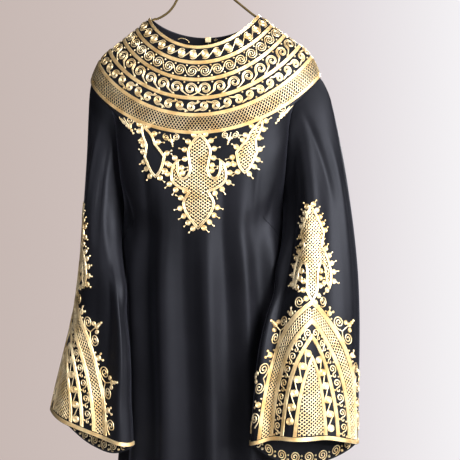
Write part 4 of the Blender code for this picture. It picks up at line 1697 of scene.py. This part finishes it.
# %% [markdown]
# ## Neck closing, rolled seams and bust darts
# At the centre back the neck closes with a hook and a thread bar, and the end of
# the neck braid is folded over to the inside as a small tab. A bust dart is a
# pinch of cloth that is stitched flat, so it shows as one thin raised line. Inside
# each long seam the raw edges of both pieces are rolled together and oversewn, which
# also keeps light from showing through the seam. Cord along a path gives all of these
# except the tab, which is a bevelled block.

# %% Tab, hook, thread bar, seams and darts
TAB_SIZE = (10 * MM, 1.2 * MM, 9 * MM)
TAB_DOWN = 3.0 * MM
TAB_ROUNDING = 0.4 * MM
TAB_OFF = 0.2 * MM
DARTS = named_rows(
    ("low_turn", "low_z", "high_turn", "high_z"),
    ((-69.0, -0.5526, -50.0, -0.5132), (69.0, -0.5526, 50.0, -0.5132)),
)
DART_STEPS = 12
DART_RADIUS = 0.6 * MM
DART_LIFT = 0.2 * MM
# Places on the inside of the back as (turn, millimetres below the neck edge).
THREAD_BAR = ((-148.0, 8.0), (-150.5, 5.2), (-155.0, 4.8), (-159.0, 7.0), (-160.5, 9.5))
NECK_HOOK = ((173.5, 4.5), (171.5, 2.2), (170.0, 3.8), (171.5, 5.4), (173.5, 4.5))
CLOSING_OFF = 1.0 * MM
CLOSING_RADIUS = 0.5 * MM
BRASS = gold_material("brass_wire", (0.60, 0.46, 0.24), (0.80, 0.66, 0.42), 0.3)


def inside_back(turn, down, off):
    """A place on the inside of the back, measured down from the neck edge."""
    edge = body.at(turn, 0.0)[0].z
    point, normal = body.at(turn, body.row_at_height(turn, edge - down))
    return point - normal * (CLOTH_THICKNESS + off)


def make_tab():
    """The folded end of the neck braid: a small block with rounded edges."""
    mesh = bmesh.new()
    bmesh.ops.create_cube(mesh, size=1.0)
    bmesh.ops.scale(mesh, verts=mesh.verts, vec=TAB_SIZE)
    bmesh.ops.bevel(mesh, geom=list(mesh.edges), offset=TAB_ROUNDING, offset_type="OFFSET",
                    segments=2, profile=0.5, affect="EDGES", material=-1)
    place = inside_back(180.0, TAB_DOWN, TAB_SIZE[1] / 2 + TAB_OFF)
    bmesh.ops.translate(mesh, verts=mesh.verts, vec=place)
    sew_on(new_piece("neck_tab", mesh, GOLD_BRAID))


def closing_line(places):
    """A line just off the inside of the back."""
    return [inside_back(turn, down * MM, CLOSING_OFF) for turn, down in places]


def dart_line(row):
    """The stitched line of one bust dart, from the side seam towards the bust."""
    line = []
    for step in range(DART_STEPS + 1):
        part = step / DART_STEPS
        turn = row["low_turn"] + (row["high_turn"] - row["low_turn"]) * part
        z = row["low_z"] + (row["high_z"] - row["low_z"]) * part
        point, normal = body.at(turn, body.row_at_height(turn, z))
        line.append(point + normal * DART_LIFT)
    return line


SEAM_BEAD_RADIUS = 0.9 * MM
SEAM_BEAD_DEPTH = SEAM_ROLL + CLOTH_THICKNESS + SEAM_BEAD_RADIUS + 0.2 * MM
BELOW_TAB = (TAB_DOWN + TAB_SIZE[2] + 1.0 * MM) / MM / YOKE_STEP
SEAM_BEADS = ((-90, UNDERARM_ROW + 1), (90, UNDERARM_ROW + 1), (180, BELOW_TAB))
SEAM_BEAD_STEP = 0.25
SHORT_OF_HEM = 0.02


def seam_bead(turn, first_row):
    """The rolled edges of two pieces, inside a seam of the body, down to the hem."""
    count = int((body.last_row - first_row) / SEAM_BEAD_STEP)
    rows = [first_row + index * SEAM_BEAD_STEP for index in range(count)]
    rows.append(body.last_row - SHORT_OF_HEM)
    line = []
    for row in rows:
        point, normal = body.at(turn, row)
        line.append(point - normal * SEAM_BEAD_DEPTH)
    return line


make_tab()
cord_piece("rolled_seams", [seam_bead(*row) for row in SEAM_BEADS], SEAM_BEAD_RADIUS, CREPE)
cord_piece("dart_stitching", [dart_line(row) for row in DARTS], DART_RADIUS, CREPE)
cord_piece("neck_thread_bar", [closing_line(THREAD_BAR)], CLOSING_RADIUS)
cord_piece("neck_hook", [closing_line(NECK_HOOK)], CLOSING_RADIUS, BRASS)

# %% [markdown]
# ## Stage, light and camera
# The dress hangs in a bright room whose light comes from the right. A pale round
# floor, a world that is lighter on the right, one large soft lamp on that side, a
# weak one on the other and one behind give that. Black cloth needs care: a bright room
# all round would wash out its folds. So the room keeps its full brightness only where
# the camera sees it, which a Light Path node tells, and the lamps shape the cloth.
# The camera stands where the photograph was taken: level, a little to the right.

# %% Floor, world, lamps and camera
FLOOR_Z = -1.62
FLOOR_RADIUS = 1.5
CAMERA_TARGET = Vector((0.0443, 0.0, -0.535))
CAMERA_DISTANCE = 1.6
CAMERA_TURN = math.radians(7)
IMAGE_SIZE = 460
FOCAL_PIXELS = 941.2
SENSOR = 36.0
ROOM_LIGHT = 0.06
ROOM_LEFT, ROOM_RIGHT = -0.36, 0.16
ROOM_COLOURS = ((0.0, (0.57, 0.48, 0.45)), (0.45, (0.66, 0.57, 0.55)),
                (0.7, (0.77, 0.72, 0.74)), (1.0, (0.96, 0.95, 0.97)))
FLOOR_COLOURS = ((0.3, (0.72, 0.70, 0.68)), (0.7, (0.78, 0.76, 0.74)))
LAMPS = named_rows(
    ("name", "location", "aim", "size", "power", "colour"),
    (
        ("window", (1.75, -1.45, 0.3), (0, 0, -0.5), (1.0, 1.7), 195, (1.0, 0.99, 0.97)),
        ("room_fill", (-1.2, -2.2, 0.5), (0, 0, -0.5), (0.9, 0.9), 26, (0.97, 0.97, 1.0)),
        ("back_fill", (0.9, 2.4, 0.6), (0, 0, -0.6), (1.2, 1.2), 60, (0.98, 0.98, 1.0)),
    ),
)


def make_floor():
    """A pale round floor."""
    mesh = bmesh.new()
    bmesh.ops.create_circle(mesh, cap_ends=True, radius=FLOOR_RADIUS, segments=96)
    bmesh.ops.translate(mesh, verts=mesh.verts, vec=(0, 0, FLOOR_Z))
    plaster, tree, shader = new_material("pale_floor", (0.75, 0.73, 0.71), 0.8)
    grain = object_noise(tree, 6.0)
    colour_by(tree, grain.outputs["Fac"], FLOOR_COLOURS, shader.inputs["Base Color"])
    new_piece("floor", mesh, plaster)


def make_world():
    """A room that is a warm grey on the left and nearly white on the right."""
    world = bpy.data.worlds.new("room")
    bpy.context.scene.world = world
    world.use_nodes = True
    tree = world.node_tree
    sky = tree.nodes["Background"]
    place = tree.nodes.new("ShaderNodeTexCoord")
    split = tree.nodes.new("ShaderNodeSeparateXYZ")
    spread = tree.nodes.new("ShaderNodeMapRange")
    spread.inputs["From Min"].default_value = ROOM_LEFT
    spread.inputs["From Max"].default_value = ROOM_RIGHT
    tree.links.new(place.outputs["Generated"], split.inputs["Vector"])
    tree.links.new(split.outputs["X"], spread.inputs["Value"])
    colour_by(tree, spread.outputs["Result"], ROOM_COLOURS, sky.inputs["Color"])
    rays = tree.nodes.new("ShaderNodeLightPath")
    dimmer = tree.nodes.new("ShaderNodeMapRange")
    dimmer.inputs["To Min"].default_value = ROOM_LIGHT
    dimmer.inputs["To Max"].default_value = 1.0
    tree.links.new(rays.outputs["Is Camera Ray"], dimmer.inputs["Value"])
    tree.links.new(dimmer.outputs["Result"], sky.inputs["Strength"])


def area_light(row):
    """One soft lamp, aimed at a point."""
    data = bpy.data.lights.new(row["name"], "AREA")
    data.shape = "RECTANGLE"
    data.size, data.size_y = row["size"]
    data.energy = row["power"]
    data.color = row["colour"]
    lamp = bpy.data.objects.new(row["name"], data)
    lamp.location = row["location"]
    beam = Vector(row["aim"]) - Vector(row["location"])
    lamp.rotation_euler = beam.to_track_quat("-Z", "Y").to_euler()
    bpy.context.collection.objects.link(lamp)


def make_camera():
    """A level camera that is turned a little to the right of the front."""
    data = bpy.data.cameras.new("camera")
    data.sensor_width = SENSOR
    data.lens = FOCAL_PIXELS / IMAGE_SIZE * SENSOR
    camera = bpy.data.objects.new("camera", data)
    back = Vector((math.sin(CAMERA_TURN), -math.cos(CAMERA_TURN), 0))
    camera.location = CAMERA_TARGET + back * CAMERA_DISTANCE
    camera.rotation_euler = (math.radians(90), 0, CAMERA_TURN)
    bpy.context.collection.objects.link(camera)
    bpy.context.scene.camera = camera


make_floor()
make_world()
for row in LAMPS:
    area_light(row)
make_camera()
bpy.context.scene.view_settings.view_transform = "Standard"
